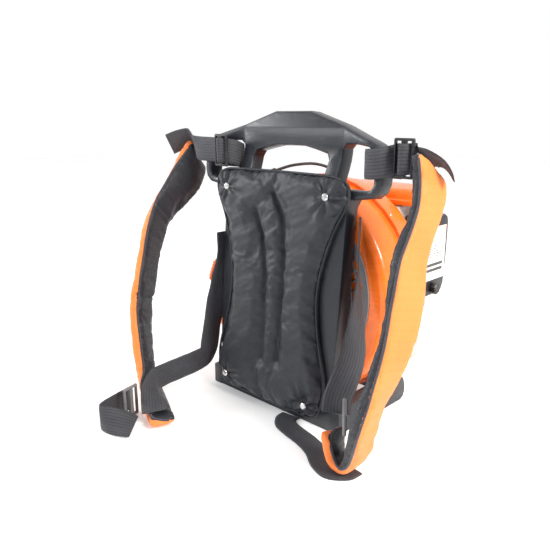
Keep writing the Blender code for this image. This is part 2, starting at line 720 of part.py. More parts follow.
def starter_housing():
    """The recoil starter's cover with its centre post and rope outlet."""
    profile = [
        (0, 0.1490), (0.0058, 0.1490), (0.0058, 0.1770), (0.0660, 0.1770), (0.0660, 0.1235),
        (0.0700, 0.1235), (0.0700, 0.1740), (0.0680, 0.1790), (0.0630, 0.1810), (0, 0.1810),
    ]
    raw = lathe("starter_housing", profile, (0, 0, FAN_Z), (0, 1, 0), black_plastic(), 28)
    z = FAN_Z + 0.022
    cut(raw, rod("rope_bore", (-0.05, 0.1600, z), (-0.09, 0.1600, z), 0.0034, None, 12))
    spans = []
    for k in range(5):
        z = FAN_Z - 0.030 + 0.015 * k
        wide = 0.040 if abs(k - 2) < 2 else 0.030
        spans += [(0.014, wide, 0.170, 0.19, z - 0.0028, z + 0.0028)]
        spans += [(-wide, -0.014, 0.170, 0.19, z - 0.0028, z + 0.0028)]
    return cut(raw, boxes("starter_vents", spans))


def starter_pulley():
    profile = [
        (0.0062, 0.1520), (0.0260, 0.1520), (0.0260, 0.1550), (0.0195, 0.1565), (0.0195, 0.1635),
        (0.0260, 0.1650), (0.0260, 0.1680), (0.0062, 0.1680),
    ]
    return lathe("starter_pulley", profile, (0, 0, FAN_Z), (0, 1, 0), grey_plastic(), 20)


def starter_grip():
    """The pull grip and the part of the rope that reaches the pulley."""
    z = FAN_Z + 0.022
    raw = boxes("starter_grip", [(-0.0960, -0.0730, 0.1500, 0.1700, z - 0.0260, z + 0.0260)], black_plastic())
    bevel(raw, 0.006, 2)
    return cut(raw, rod("rope", (-0.0010, 0.1600, z), (-0.0800, 0.1600, z), 0.0020, None, 12), "UNION")


# ---------------------------------------------------------------- fuel
def fuel_tank():
    raw = boxes("fuel_tank", [(-0.1100, 0.1100, 0.0850, 0.1780, 0.0350, 0.1100)], light_plastic())
    bevel(raw, 0.014, 3)
    cut(raw, rod("tank_neck", (0.0740, 0.1400, 0.1080), (0.0740, 0.1400, 0.1180), 0.0160, None, 20), "UNION")
    cut(raw, rod("filler_bore", (0.0740, 0.1400, 0.0950), (0.0740, 0.1400, 0.1300), 0.0122, None, 20))
    return cut(raw, rod("pickup_bore", (0.0620, 0.1120, 0.1000), (0.0620, 0.1120, 0.1200), 0.0032, None, 12))


def fuel_cap():
    place = basis((0.0740, 0.1400, 0), (1, 0, 0), (0, 1, 0))
    raw = outline("fuel_cap", [ribbed(0.0205, 0.0013, 9)], 0.1183, 0.1330, place, black_plastic(), 0.0020, 0)
    return cut(raw, rod("cap_plug", (0.0740, 0.1400, 0.1050), (0.0740, 0.1400, 0.1190), 0.0115, None, 20), "UNION")


def fuel_line():
    points = [
        (0.0620, 0.1120, 0.1010), (0.0620, 0.1120, 0.1250), (0.0670, 0.1100, 0.1600),
        (0.0690, 0.1080, 0.2150), (0.0640, 0.1080, 0.2550), (0.0620, 0.1080, 0.2735),
    ]
    return to_mesh(tube("fuel_line", points, 0.0026, rubber()), "fuel_line")


def control_cable():
    """The throttle cable, brought over the housing towards the wearer's right hand."""
    points = [
        (0.0500, 0.1000, 0.3090), (0.0496, 0.0984, 0.3128), (0.0400, 0.0860, 0.3150),
        (0.0250, 0.0740, 0.3200), (0.0060, 0.0732, 0.3420), (-0.0140, 0.0725, 0.3680), (-0.0350, 0.0500, 0.3800),
        (-0.0560, 0.0200, 0.3790),
        (-0.0720, -0.0020, 0.3720), (-0.0800, -0.0200, 0.3660),
    ]
    cable = to_mesh(tube("control_cable", points, 0.0024, rubber()), "control_cable")
    profile = [(0, 0.0), (0.0050, 0.0), (0.0050, 0.016), (0.0036, 0.018), (0.0036, 0.024), (0, 0.024)]
    plug = lathe("cable_end", profile, (-0.0740, -0.0080, 0.3700), (-0.38, -0.85, -0.28), None, 12)
    return cut(cable, plug, "UNION")


# ---------------------------------------------------------------- harness
def back_pad():
    """The quilted pad on the front of the plate."""
    loop = mirrored([
        (0.060, 0.016), (0.094, 0.018), (0.108, 0.030), (0.115, 0.060), (0.112, 0.090),
        (0.099, 0.138), (0.092, 0.180), (0.091, 0.215), (0.098, 0.255), (0.113, 0.300),
        (0.128, 0.330), (0.134, 0.348), (0.132, 0.364), (0.120, 0.374), (0.080, 0.378),
    ])
    return outline("back_pad", [loop], 2 * GAP, 0.0190, PLATE, nylon_black(), 0.0085, 2)


def pad_snap(name, x, h):
    """A press stud that holds the pad to the plate."""
    profile = [(0, 0), (0.0056, 0), (0.0056, 0.0006), (0.0040, 0.0020), (0, 0.0024)]
    z = PLATE.to_3x3() @ Vector((0, 0, 1))
    return lathe(name, profile, PLATE @ Vector((x, h, 0.0193)), z, steel(), 12)


# Front and rear edge of each shoulder pad, from the shoulder down
RIGHT_EDGES = [
    ((0.2388, -0.0940, 0.4150), (0.2406, -0.0820, 0.4132)),
    ((0.2398, -0.0960, 0.4010), (0.2448, -0.0571, 0.3943)),
    ((0.2403, -0.0960, 0.3850), (0.2490, -0.0321, 0.3731)),
    ((0.2463, -0.1070, 0.3560), (0.2529, -0.0381, 0.3494)),
    ((0.2503, -0.1260, 0.3300), (0.2547, -0.0571, 0.3191)),
    ((0.2513, -0.1480, 0.2970), (0.2588, -0.0811, 0.2830)),
    ((0.2543, -0.1650, 0.2530), (0.2674, -0.0982, 0.2388)),
    ((0.2563, -0.1800, 0.2030), (0.2683, -0.1122, 0.1888)),
    ((0.2543, -0.1940, 0.1590), (0.2585, -0.1260, 0.1516)),
    ((0.2503, -0.2020, 0.1200), (0.2431, -0.1390, 0.1117)),
    ((0.2403, -0.2040, 0.0800), (0.2343, -0.1440, 0.0680)),
    ((0.2243, -0.1920, 0.0420), (0.2273, -0.1420, 0.0380)),
    ((0.2133, -0.1860, 0.0200), (0.2123, -0.1440, 0.0190)),
    ((0.2023, -0.1820, 0.0135), (0.1963, -0.1440, 0.0135)),
    ((0.1908, -0.1830, 0.0220), (0.1863, -0.1420, 0.0210)),
    ((0.1833, -0.1840, 0.0420), (0.1853, -0.1400, 0.0390)),
    ((0.1763, -0.1820, 0.0600), (0.1873, -0.1380, 0.0560)),
]
LEFT_EDGES = [
    ((-0.2290, -0.0660, 0.4200), (-0.2325, -0.0235, 0.3621)),
    ((-0.2460, -0.0820, 0.3880), (-0.2277, -0.0421, 0.3298)),
    ((-0.2510, -0.1070, 0.3520), (-0.2410, -0.0603, 0.3019)),
    ((-0.2500, -0.1370, 0.3150), (-0.2610, -0.0877, 0.2690)),
    ((-0.2480, -0.1580, 0.2710), (-0.2671, -0.1059, 0.2327)),
    ((-0.2460, -0.1720, 0.2260), (-0.2701, -0.1165, 0.1967)),
    ((-0.2430, -0.1850, 0.1820), (-0.2692, -0.1274, 0.1590)),
    ((-0.2390, -0.1950, 0.1500), (-0.2658, -0.1383, 0.1273)),
    ((-0.2310, -0.2010, 0.1130), (-0.2578, -0.1463, 0.0872)),
    ((-0.2190, -0.2060, 0.0770), (-0.2434, -0.1552, 0.0496)),
    ((-0.2010, -0.2150, 0.0400), (-0.2080, -0.1720, 0.0220)),
    ((-0.1760, -0.2320, 0.0180), (-0.1640, -0.1880, 0.0120)),
    ((-0.1400, -0.2520, 0.0110), (-0.1180, -0.2090, 0.0110)),
    ((-0.1060, -0.2690, 0.0100), (-0.0820, -0.2290, 0.0110)),
    ((-0.0740, -0.2830, 0.0110), (-0.0540, -0.2460, 0.0190)),
]


def shoulder_pad_right():
    """Bends round at the floor and its end comes up again."""
    rows = list(zip(*(path_of(edge, 2) for edge in zip(*RIGHT_EDGES))))
    return banded("shoulder_pad_right", rows, CUSHION_T, nylon_orange(), 0.004)


def shoulder_pad_left():
    """Reaches the floor and lies on it with its inner face up."""
    rows = list(zip(*(path_of(edge, 2) for edge in zip(*LEFT_EDGES))))
    return banded("shoulder_pad_left", rows, CUSHION_T, nylon_orange(), 0.004)


def upper_strap_right():
    """Round the strap eye, through the ladder buckle and over the pad's end to a free tail."""
    points = [
        (0.1880, -0.0390, 0.3960), (0.1700, -0.0362, 0.3955), (0.1520, -0.0410, 0.3955),
        (0.1450, -0.0560, 0.3955), (0.1530, -0.0720, 0.3960), (0.1690, -0.0780, 0.3970),
        (0.1820, -0.0710, 0.3995), (0.1913, -0.0565, 0.4030), (0.1998, -0.0648, 0.4050),
        (0.2043, -0.0725, 0.4050), (0.2093, -0.0725, 0.4050), (0.2143, -0.0650, 0.4050),
        (0.2170, -0.0525, 0.4055), (0.2220, -0.0470, 0.4065), (0.2320, -0.0500, 0.4080),
        (0.2430, -0.0550, 0.4065), (0.2530, -0.0530, 0.4010), (0.2590, -0.0480, 0.3940),
        (0.2625, -0.0420, 0.3850),
    ]
    across = [(0, 0, 1)] * 11 + [(0, -0.1, 1), (0, -0.3, 0.95), (0, -0.6, 0.8)] + [(0, -0.8, 0.6)] * 5
    return ribbon("upper_strap_right", points, across, STRAP_W, STRAP_T, webbing(), 2)


def upper_strap_left():
    """The same webbing, with its buckle drawn up to the strap eye."""
    points = [
        (-0.1860, -0.0360, 0.3950), (-0.1650, -0.0330, 0.3940), (-0.1400, -0.0320, 0.3940),
        (-0.1170, -0.0390, 0.3940), (-0.1065, -0.0550, 0.3960), (-0.1075, -0.0700, 0.4010),
        (-0.1172, -0.0816, 0.4042), (-0.1213, -0.0900, 0.4045), (-0.1263, -0.0900, 0.4045),
        (-0.1313, -0.0825, 0.4045), (-0.1372, -0.0755, 0.4045), (-0.1500, -0.0740, 0.4045),
        (-0.1900, -0.0740, 0.4050), (-0.2100, -0.0690, 0.4090), (-0.2180, -0.0620, 0.4160),
        (-0.2280, -0.0560, 0.4205), (-0.2400, -0.0570, 0.4205), (-0.2540, -0.0680, 0.4160),
        (-0.2650, -0.0810, 0.4090),
    ]
    across = [(0, 0, 1)] * 13 + [(0, -0.3, 0.9)] + [(0, -0.58, 0.81)] * 5
    return ribbon("upper_strap_left", points, across, STRAP_W, STRAP_T, webbing(), 2)


def ladder_buckle(name, place, mat):
    """A frame with two slots: X along the webbing, Y across it."""
    raw = boxes(name, [(-0.0150, 0.0150, -0.0255, 0.0255, -0.0025, 0.0025)], mat, place)
    bevel(raw, 0.0015, 1)
    spans = [(a, b, -0.0220, 0.0220, -0.01, 0.01) for a, b in ((-0.0120, -0.0035), (0.0030, 0.0115))]
    return cut(raw, boxes(name + "_slots", spans, None, place))


LOWER_PATH = [
    (0.1420, -0.0640, 0.3230), (0.1465, -0.0705, 0.2800), (0.1510, -0.0760, 0.2380),
]
LOWER_ACROSS = [(-0.62, 0.78, 0), (-0.60, 0.80, 0), (-0.50, 0.87, 0)]


def lower_strap_right():
    points = LOWER_PATH + [
        (0.1570, -0.0840, 0.1800), (0.1610, -0.0980, 0.1280), (0.1610, -0.1150, 0.1000),
        (0.1640, -0.1320, 0.0820), (0.1740, -0.1480, 0.0700),
    ]
    across = LOWER_ACROSS + [(0.0, 1.0, 0), (0.50, 0.87, 0), (0.80, 0.60, 0), (0.80, 0.60, 0), (0.75, 0.66, 0)]
    return ribbon("lower_strap_right", points, across, STRAP_W, STRAP_T, webbing(), 3)


def lower_strap_left():
    """Hangs from the plate, turns forward and lies over the end of the pad."""
    points = [
        (-0.1290, -0.0725, 0.2700), (-0.1292, -0.0725, 0.2350), (-0.1360, -0.0760, 0.1900),
        (-0.1425, -0.0850, 0.1450), (-0.1440, -0.0950, 0.1080), (-0.1430, -0.1010, 0.0830),
        (-0.1420, -0.1060, 0.0660), (-0.1410, -0.1150, 0.0545), (-0.1405, -0.1290, 0.0505),
        (-0.1405, -0.1560, 0.0480), (-0.1425, -0.1960, 0.0450),
        (-0.1380, -0.2230, 0.0430), (-0.1230, -0.2400, 0.0350), (-0.1020, -0.2520, 0.0265),
        (-0.0790, -0.2660, 0.0245),
    ]
    across = [(0, 1, 0), (0, 1, 0), (0.3, 0.95, 0), (0.2, 0.95, 0), (0, 1, 0)] + [
        (0, 0.97, -0.26), (0, 0.87, -0.5), (0, 0.5, -0.87), (0, 0.14, -0.99), (0, 0.05, -1), (0, 0, -1),
        (0.20, 0.15, -0.97), (0.50, 0.50, -0.60), (0.58, 0.80, -0.1), (0.55, 0.83, 0.1),
    ]
    return ribbon("lower_strap_left", points, across, STRAP_W, STRAP_T, webbing(), 3)


def strap_tail_left():
    """The free end of the left webbing: a loop standing on edge on the floor."""
    points = [
        (-0.1530, -0.2640, 0.0205), (-0.1450, -0.2950, 0.0205), (-0.1360, -0.3220, 0.0205),
        (-0.1270, -0.3300, 0.0205), (-0.1130, -0.3240, 0.0200), (-0.0980, -0.3125, 0.0162),
        (-0.0840, -0.3010, 0.0116),
    ]
    across = [(0, 0, 1)] * 4 + [(-0.2, 0.25, 0.95), (-0.5, 0.5, 0.70), (-0.62, 0.62, 0.40)]
    return ribbon("strap_tail_left", points, across, STRAP_W, STRAP_T, webbing(), 3)


def strap_tail_right():
    """The free end of the right webbing, flat on the floor under the fold of the pad."""
    points = [
        (0.2080, -0.1500, 0.0014), (0.2060, -0.1670, 0.0014), (0.1930, -0.1770, 0.0014),
        (0.1730, -0.1710, 0.0014), (0.1450, -0.1520, 0.0014), (0.1150, -0.1400, 0.0014),
        (0.0840, -0.1330, 0.0014), (0.0610, -0.1250, 0.0014), (0.0495, -0.1120, 0.0014),
        (0.0480, -0.0990, 0.0014),
    ]
    across = [
        (1.0, 0.1, 0), (0.95, -0.3, 0), (0.6, -0.8, 0), (-0.5, -0.87, 0), (-0.5, -0.87, 0),
        (-0.3, -0.95, 0), (-0.35, -0.94, 0), (-0.65, -0.75, 0), (-0.9, -0.4, 0), (-1, -0.1, 0),
    ]
    return ribbon("strap_tail_right", points, across, 0.034, STRAP_T, webbing(), 3)


back_plate()
base_frame()
for label, sign in (("left", -1), ("right", 1)):
    base_bolt("base_bolt_" + label, 0.090 * sign)
    vibration_mount("vibration_mount_top_" + label, MOUNT_X * sign, MOUNT_Z[1])
    vibration_mount("vibration_mount_low_" + label, MOUNT_X * sign, MOUNT_Z[0])
    pad_snap("pad_snap_top_" + label, 0.102 * sign, 0.349)
    pad_snap("pad_snap_low_" + label, 0.088 * sign, 0.036)
fan_housing("fan_housing_front", FAN_Y0, 0.118)
fan_housing("fan_housing_rear", FAN_Y1, 0.012)
housing_screw("housing_screw_a", 115)
housing_screw("housing_screw_b", 42)
housing_screw("housing_screw_c", -30)
intake_grille()
impeller()
outlet_stub()
outlet_clamp()
clamp_knob()
crankcase()
cylinder()
crankshaft()
flywheel()
spark_plug()
plug_boot()
ignition_module()
muffler()
muffler_guard()
carburettor()
primer_bulb()
filter_base()
choke_lever()
air_filter()
filter_cover()
filter_knob()
rating_label()
engine_cover()
starter_housing()
starter_pulley()
starter_grip()
fuel_tank()
fuel_cap()
fuel_line()
control_cable()
back_pad()
shoulder_pad_right()
shoulder_pad_left()
upper_strap_right()
upper_strap_left()
lower_strap_right()
lower_strap_left()
upright = (0, 0, 1)
for label, mat, centre, run, up in (
    ("upper_buckle_right", black_plastic(), (0.2070, -0.0650, 0.4055), (1, 0, 0), upright),
    ("upper_buckle_left", black_plastic(), (-0.1240, -0.0825, 0.4045), (-1, 0, 0), upright),
    ("lower_buckle_right", grey_plastic(), (0.2005, -0.1635, 0.0800), (0, 0, -1), (0.62, -0.78, 0)),
    ("lower_buckle_left", grey_plastic(), (-0.1310, -0.2750, 0.0262), (0.25, -0.97, 0), upright),
):
    ladder_buckle(label, basis(centre, run, up), mat)
strap_tail_left()
strap_tail_right()

for placed in [*PARTS.objects, *CUTTERS.objects]:
    placed.matrix_world = Matrix.Translation((0, ORIGIN_Y, 0)) @ placed.matrix_world
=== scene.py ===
"""Looks of the backpack leaf blower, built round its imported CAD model."""

import json
import math

import bmesh
import bpy
import numpy as np
from mathutils import Matrix, Vector, noise
from mathutils.bvhtree import BVHTree
from mathutils.kdtree import KDTree


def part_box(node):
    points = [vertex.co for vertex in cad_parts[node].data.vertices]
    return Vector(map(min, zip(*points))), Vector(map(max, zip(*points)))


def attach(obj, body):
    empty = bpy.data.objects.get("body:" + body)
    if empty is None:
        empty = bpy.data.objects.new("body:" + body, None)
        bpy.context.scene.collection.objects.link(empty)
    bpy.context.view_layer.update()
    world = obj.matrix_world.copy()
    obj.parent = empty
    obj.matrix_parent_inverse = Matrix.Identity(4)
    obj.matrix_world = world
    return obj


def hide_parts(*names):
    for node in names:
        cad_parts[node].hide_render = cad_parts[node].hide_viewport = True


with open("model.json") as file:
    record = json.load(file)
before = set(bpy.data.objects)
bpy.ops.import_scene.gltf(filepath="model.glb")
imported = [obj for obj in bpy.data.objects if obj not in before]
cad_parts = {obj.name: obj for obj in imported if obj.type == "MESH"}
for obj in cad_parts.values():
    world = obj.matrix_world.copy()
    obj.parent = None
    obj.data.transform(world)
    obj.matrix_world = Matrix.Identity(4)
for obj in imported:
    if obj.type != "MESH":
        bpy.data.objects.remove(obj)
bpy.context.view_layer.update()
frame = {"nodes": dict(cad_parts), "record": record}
BODY = "machine"
SHIFT_Y = 0.0741  # the CAD's own shift of everything along Y
LEAN = 0.077  # how far the back plate goes back for each metre of height
PLATE_Y = -0.100 + SHIFT_Y  # front of the back plate at floor level
FAN_Z = 0.195  # height of the fan's shaft

scene = bpy.context.scene


# ---------------------------------------------------------------- camera and light
def camera():
    data = bpy.data.cameras.new("camera")
    data.sensor_width = 36.0
    data.lens = 39.27
    data.clip_start = 0.01
    cam = bpy.data.objects.new("camera", data)
    scene.collection.objects.link(cam)
    cam.location = (0.6273, -0.7333 + SHIFT_Y, 0.4571)
    cam.rotation_euler = (math.radians(90.0 - 14.8), 0.0, math.radians(44.1))
    scene.camera = cam


def area_light(name, place, target, size, power, colour=(1, 1, 1)):
    data = bpy.data.lights.new(name, "AREA")
    data.shape = "DISK"
    data.size = size
    data.energy = power
    data.color = colour
    obj = bpy.data.objects.new(name, data)
    scene.collection.objects.link(obj)
    obj.location = place
    obj.rotation_euler = (Vector(target) - Vector(place)).to_track_quat("-Z", "Y").to_euler()


def studio():
    world = bpy.data.worlds.new("studio")
    scene.world = world
    world.use_nodes = True
    back = world.node_tree.nodes["Background"]
    back.inputs["Strength"].default_value = 1.0
    toward = (-0.62, 0.74, 0.25)  # the bright side of the studio, behind the machine
    side = node(world, "TexCoord", {}).outputs["Generated"]
    dot = node(world, "VectorMath", {"operation": "DOT_PRODUCT"}, (0, side), (1, toward))
    ahead = dot.outputs["Value"]
    white = mix(world, span(world, ahead, -0.5, 0.35, 0, 1), (0.34, 0.35, 0.37), (1.0, 1.0, 1.0))
    world.node_tree.links.new(white, back.inputs["Color"])
    middle = (0, 0, 0.22)
    area_light("key", (1.8, -0.1, 1.5), middle, 0.8, 62, (1.0, 0.95, 0.88))
    area_light("front", (0.2, -1.9, 1.5), middle, 0.6, 9, (0.94, 0.97, 1.0))
    area_light("side", (-1.9, -0.9, 0.9), middle, 0.5, 27)
    scene.view_settings.view_transform = "Standard"
    mesh = bpy.data.meshes.new("floor")
    bm = bmesh.new()
    bmesh.ops.create_grid(bm, x_segments=1, y_segments=1, size=6.0)
    bm.to_mesh(mesh)
    bm.free()
    floor = bpy.data.objects.new("floor", mesh)
    scene.collection.objects.link(floor)
    mat = principled("floor", (0.93, 0.93, 0.93), 0.55, Emission_Color=(1, 1, 1, 1), Emission_Strength=0.22)
    floor.data.materials.append(mat)


# ---------------------------------------------------------------- materials
def principled(name, colour, rough, **sockets):
    mat = bpy.data.materials.new(name)
    mat.use_nodes = True
    shader = mat.node_tree.nodes["Principled BSDF"]
    shader.inputs["Base Color"].default_value = (*colour, 1)
    shader.inputs["Roughness"].default_value = rough
    for key, value in sockets.items():
        shader.inputs[key.replace("_", " ")].default_value = value
    return mat


def node(mat, kind, props, *inputs):
    """A shader node. Each input is (name or index, value or socket); its first output is returned."""
    made = mat.node_tree.nodes.new("ShaderNode" + kind)
    for key, value in props.items():
        setattr(made, key, value)
    for key, value in inputs:
        if isinstance(value, bpy.types.NodeSocket):
            mat.node_tree.links.new(value, made.inputs[key])
        else:
            made.inputs[key].default_value = value
    return made


def calc(mat, operation, *values):
    """A Math node's result."""
    return node(mat, "Math", {"operation": operation}, *enumerate(values)).outputs[0]


def place(mat, scale=(1, 1, 1), kind="Object"):
    """Scaled object or UV coordinates."""
    coords = node(mat, "TexCoord", {}).outputs[kind]
    return node(mat, "Mapping", {}, ("Vector", coords), ("Scale", scale)).outputs[0]


def grain(mat, scale, detail=3.0, rough=0.55, vector=None):
    """Noise between 0 and 1."""
    vector = vector or place(mat)
    inputs = [("Vector", vector), ("Scale", scale), ("Detail", detail), ("Roughness", rough)]
    return node(mat, "TexNoise", {}, *inputs).outputs["Fac"]


def mix(mat, fac, a, b):
    """A colour mix; a and b are colours or sockets."""
    made = node(mat, "Mix", {"data_type": "RGBA"}, (0, fac))
    for index, value in ((6, a), (7, b)):
        if isinstance(value, bpy.types.NodeSocket):
            mat.node_tree.links.new(value, made.inputs[index])
        else:
            made.inputs[index].default_value = (*value, 1)
    return made.outputs[2]


def span(mat, value, low, high, to_low, to_high):
    """Value's range low to high, stretched to another."""
    made = node(mat, "MapRange", {}, *enumerate((value, low, high, to_low, to_high)))
    return made.outputs[0]


def connect(mat, **sockets):
    shader = mat.node_tree.nodes["Principled BSDF"]
    for key, value in sockets.items():
        mat.node_tree.links.new(value, shader.inputs[key.replace("_", " ")])
    return mat


def bumped(mat, height, distance, strength=1.0, normal=None):
    inputs = [("Height", height), ("Distance", distance), ("Strength", strength)]
    if normal is not None:
        inputs.append(("Normal", normal))
    return node(mat, "Bump", {}, *inputs).outputs[0]


def shade(colour, factor):
    return tuple(min(1.0, c * factor) for c in colour)


def rounded(mat, radius):
    """A normal that rounds hard edges, and a mask of those edges."""
    soft = node(mat, "Bevel", {"samples": 6}, ("Radius", radius)).outputs[0]
    hard = node(mat, "NewGeometry", {}).outputs["Normal"]
    dot = node(mat, "VectorMath", {"operation": "DOT_PRODUCT"}, (0, soft), (1, hard)).outputs["Value"]
    return soft, span(mat, dot, 0.98, 0.80, 0.0, 1.0)


def moulded(name, colour, rough, texture=0.00010, worn=0.25, dust=0.0, radius=0.0016, **sockets):
    """Moulded plastic: fine spark-eroded grain, scuffs, rubbed edges and a little dust."""
    mat = principled(name, colour, rough, **sockets)
    soft, edge = rounded(mat, radius)
    fine = grain(mat, 1500, 2.0)
    broad = grain(mat, 22, 4.0)
    scuffs = grain(mat, 60, 6.0, 0.7, place(mat, (1.0, 1.0, 4.0)))
    base = mix(mat, span(mat, broad, 0.35, 0.65, 0, 1), shade(colour, 0.86), shade(colour, 1.12))
    base = mix(mat, span(mat, scuffs, 0.60, 0.80, 0, 0.35), base, tuple(0.6 * c + 0.12 for c in colour))
    rub = calc(mat, "MULTIPLY", edge, span(mat, scuffs, 0.40, 0.60, 0.15 * worn, worn))
    base = mix(mat, rub, base, tuple(0.55 * c + 0.26 for c in colour))
    if dust:
        up = node(mat, "SeparateXYZ", {}, (0, node(mat, "NewGeometry", {}).outputs["Normal"])).outputs[2]
        layer = calc(mat, "MULTIPLY", span(mat, up, 0.3, 1.0, 0, dust), span(mat, scuffs, 0.35, 0.6, 0.3, 1))
        base = mix(mat, layer, base, (0.45, 0.42, 0.38))
    gloss = span(mat, scuffs, 0.35, 0.75, rough - 0.05, rough + 0.16)
    normal = bumped(mat, fine, texture, 0.8, bumped(mat, broad, 0.0006, 0.35, soft))
    return connect(mat, Base_Color=base, Roughness=gloss, Normal=normal)


def metal(name, colour, rough, lumps=0.00012, scale=900, **sockets):
    """Cast or turned metal with a stained, uneven surface."""
    mat = principled(name, colour, rough, Metallic=1.0, **sockets)
    soft, edge = rounded(mat, 0.0009)
    fine = grain(mat, scale, 4.0, 0.6)
    broad = grain(mat, 45, 5.0, 0.6)
    base = mix(mat, span(mat, broad, 0.35, 0.7, 0, 1), shade(colour, 1.1), shade(colour, 0.62))
    base = mix(mat, calc(mat, "MULTIPLY", edge, 0.4), base, shade(colour, 1.5))
    gloss = span(mat, broad, 0.3, 0.75, rough - 0.08, rough + 0.2)
    return connect(mat, Base_Color=base, Roughness=gloss, Normal=bumped(mat, fine, lumps, 0.9, soft))


def woven(name, colour, dark, pitch=0.0012, rough=0.74, depth=0.00016, sheen=0.35):
    """Nylon cloth: a plain weave on the UV map, in metres, with uneven colour and soft sheen."""
    mat = principled(name, colour, rough, Sheen_Weight=sheen, Sheen_Roughness=0.45)
    uv = place(mat, (1 / pitch, 1 / pitch, 1), "UV")
    both = node(mat, "SeparateXYZ", {}, (0, uv))
    waves = [calc(mat, "SINE", calc(mat, "MULTIPLY", both.outputs[k], math.pi)) for k in (0, 1)]
    weave = calc(mat, "ABSOLUTE", calc(mat, "MULTIPLY", *waves))
    broad = grain(mat, 18, 5.0)
    slub = grain(mat, 260, 3.0)
    base = mix(mat, span(mat, weave, 0.0, 1.0, 0.35, 0.0), colour, dark)
    base = mix(mat, span(mat, broad, 0.35, 0.7, 0.0, 0.35), base, dark)
    gloss = span(mat, slub, 0.3, 0.7, rough - 0.1, rough + 0.1)
    height = calc(mat, "ADD", weave, calc(mat, "MULTIPLY", slub, 0.8))
    return connect(mat, Base_Color=base, Roughness=gloss, Normal=bumped(mat, height, depth, 0.9))


def band(name, colour, dark, ribs=9):
    """Webbing: lengthwise ribs and fine slanting picks on a UV map of metres along and 0 to 1 across."""
    mat = principled(name, colour, 0.68, Sheen_Weight=0.12, Sheen_Roughness=0.4)
    both = node(mat, "SeparateXYZ", {}, (0, place(mat, (1, 1, 1), "UV")))
    along, across = both.outputs[0], both.outputs[1]
    rib = calc(mat, "ABSOLUTE", calc(mat, "SINE", calc(mat, "MULTIPLY", across, math.pi * ribs)))
    zigzag = calc(mat, "PINGPONG", calc(mat, "MULTIPLY", across, ribs * 1.0), 1.0)
    picks = calc(mat, "MULTIPLY", along, math.pi / 0.0016)
    slant = calc(mat, "ADD", picks, calc(mat, "MULTIPLY", zigzag, 1.7))
    pick = calc(mat, "ABSOLUTE", calc(mat, "SINE", slant))
    fuzz = grain(mat, 700, 3.0)
    wear = grain(mat, 30, 4.0)
    height = calc(mat, "ADD", rib, calc(mat, "MULTIPLY", pick, 0.55))
    base = mix(mat, span(mat, height, 0.1, 1.3, 0.0, 1.0), dark, colour)
    base = mix(mat, span(mat, wear, 0.45, 0.75, 0.0, 0.35), base, shade(colour, 1.6))
    gloss = span(mat, fuzz, 0.3, 0.7, 0.6, 0.8)
    return connect(mat, Base_Color=base, Roughness=gloss, Normal=bumped(mat, height, 0.00035, 0.9))


def rubbery(name, colour):
    mat = principled(name, colour, 0.6)
    soft, _ = rounded(mat, 0.0012)
    fine = grain(mat, 1100, 3.0)
    broad = grain(mat, 40, 4.0)
    base = mix(mat, span(mat, broad, 0.35, 0.7, 0, 1), colour, tuple(c + 0.02 for c in colour))
    return connect(mat, Base_Color=base, Normal=bumped(mat, fine, 0.0001, 0.8, soft))


def foamed(name, colour):
    mat = principled(name, colour, 0.9)
    cells = node(mat, "TexVoronoi", {}, ("Vector", place(mat)), ("Scale", 520.0)).outputs["Distance"]
    base = mix(mat, span(mat, cells, 0.0, 0.7, 0, 1), shade(colour, 0.5), shade(colour, 1.5))
    return connect(mat, Base_Color=base, Normal=bumped(mat, cells, 0.0006))


def printed(name, low, high):
    """A rating label with plain blocks and lines in place of its print. low and high are its Y and Z box."""
    mat = principled(name, (0.9, 0.9, 0.9), 0.35)
    both = node(mat, "SeparateXYZ", {}, (0, place(mat)))
    u = span(mat, both.outputs[1], low[0], high[0], 0, 1)
    v = span(mat, both.outputs[2], low[1], high[1], 0, 1)

    def block(u0, u1, v0, v1):
        sides = [
            calc(mat, "GREATER_THAN", u, u0), calc(mat, "LESS_THAN", u, u1),
            calc(mat, "GREATER_THAN", v, v0), calc(mat, "LESS_THAN", v, v1),
        ]
        total = sides[0]
        for other in sides[1:]:
            total = calc(mat, "MULTIPLY", total, other)
        return total

    base = (0.86, 0.86, 0.87)
    base = mix(mat, block(-0.1, 1.1, 0.72, 1.1), base, (0.85, 0.55, 0.50))
    lines = calc(mat, "GREATER_THAN", calc(mat, "SINE", calc(mat, "MULTIPLY", v, 130.0)), 0.1)
    words = calc(mat, "GREATER_THAN", grain(mat, 260, 1.0, 0.5, place(mat, (1, 1, 0.1))), 0.47)
    printed_on = calc(mat, "MULTIPLY", calc(mat, "MULTIPLY", lines, words), block(0.08, 0.92, 0.40, 0.68))
    base = mix(mat, printed_on, base, (0.12, 0.12, 0.13))
    base = mix(mat, block(0.1, 0.9, 0.26, 0.32), base, (0.05, 0.05, 0.05))
    base = mix(mat, block(0.1, 0.9, 0.16, 0.22), base, (0.05, 0.05, 0.05))
    scuffs = grain(mat, 90, 4.0)
    return connect(mat, Base_Color=base, Roughness=span(mat, scuffs, 0.3, 0.7, 0.28, 0.5))


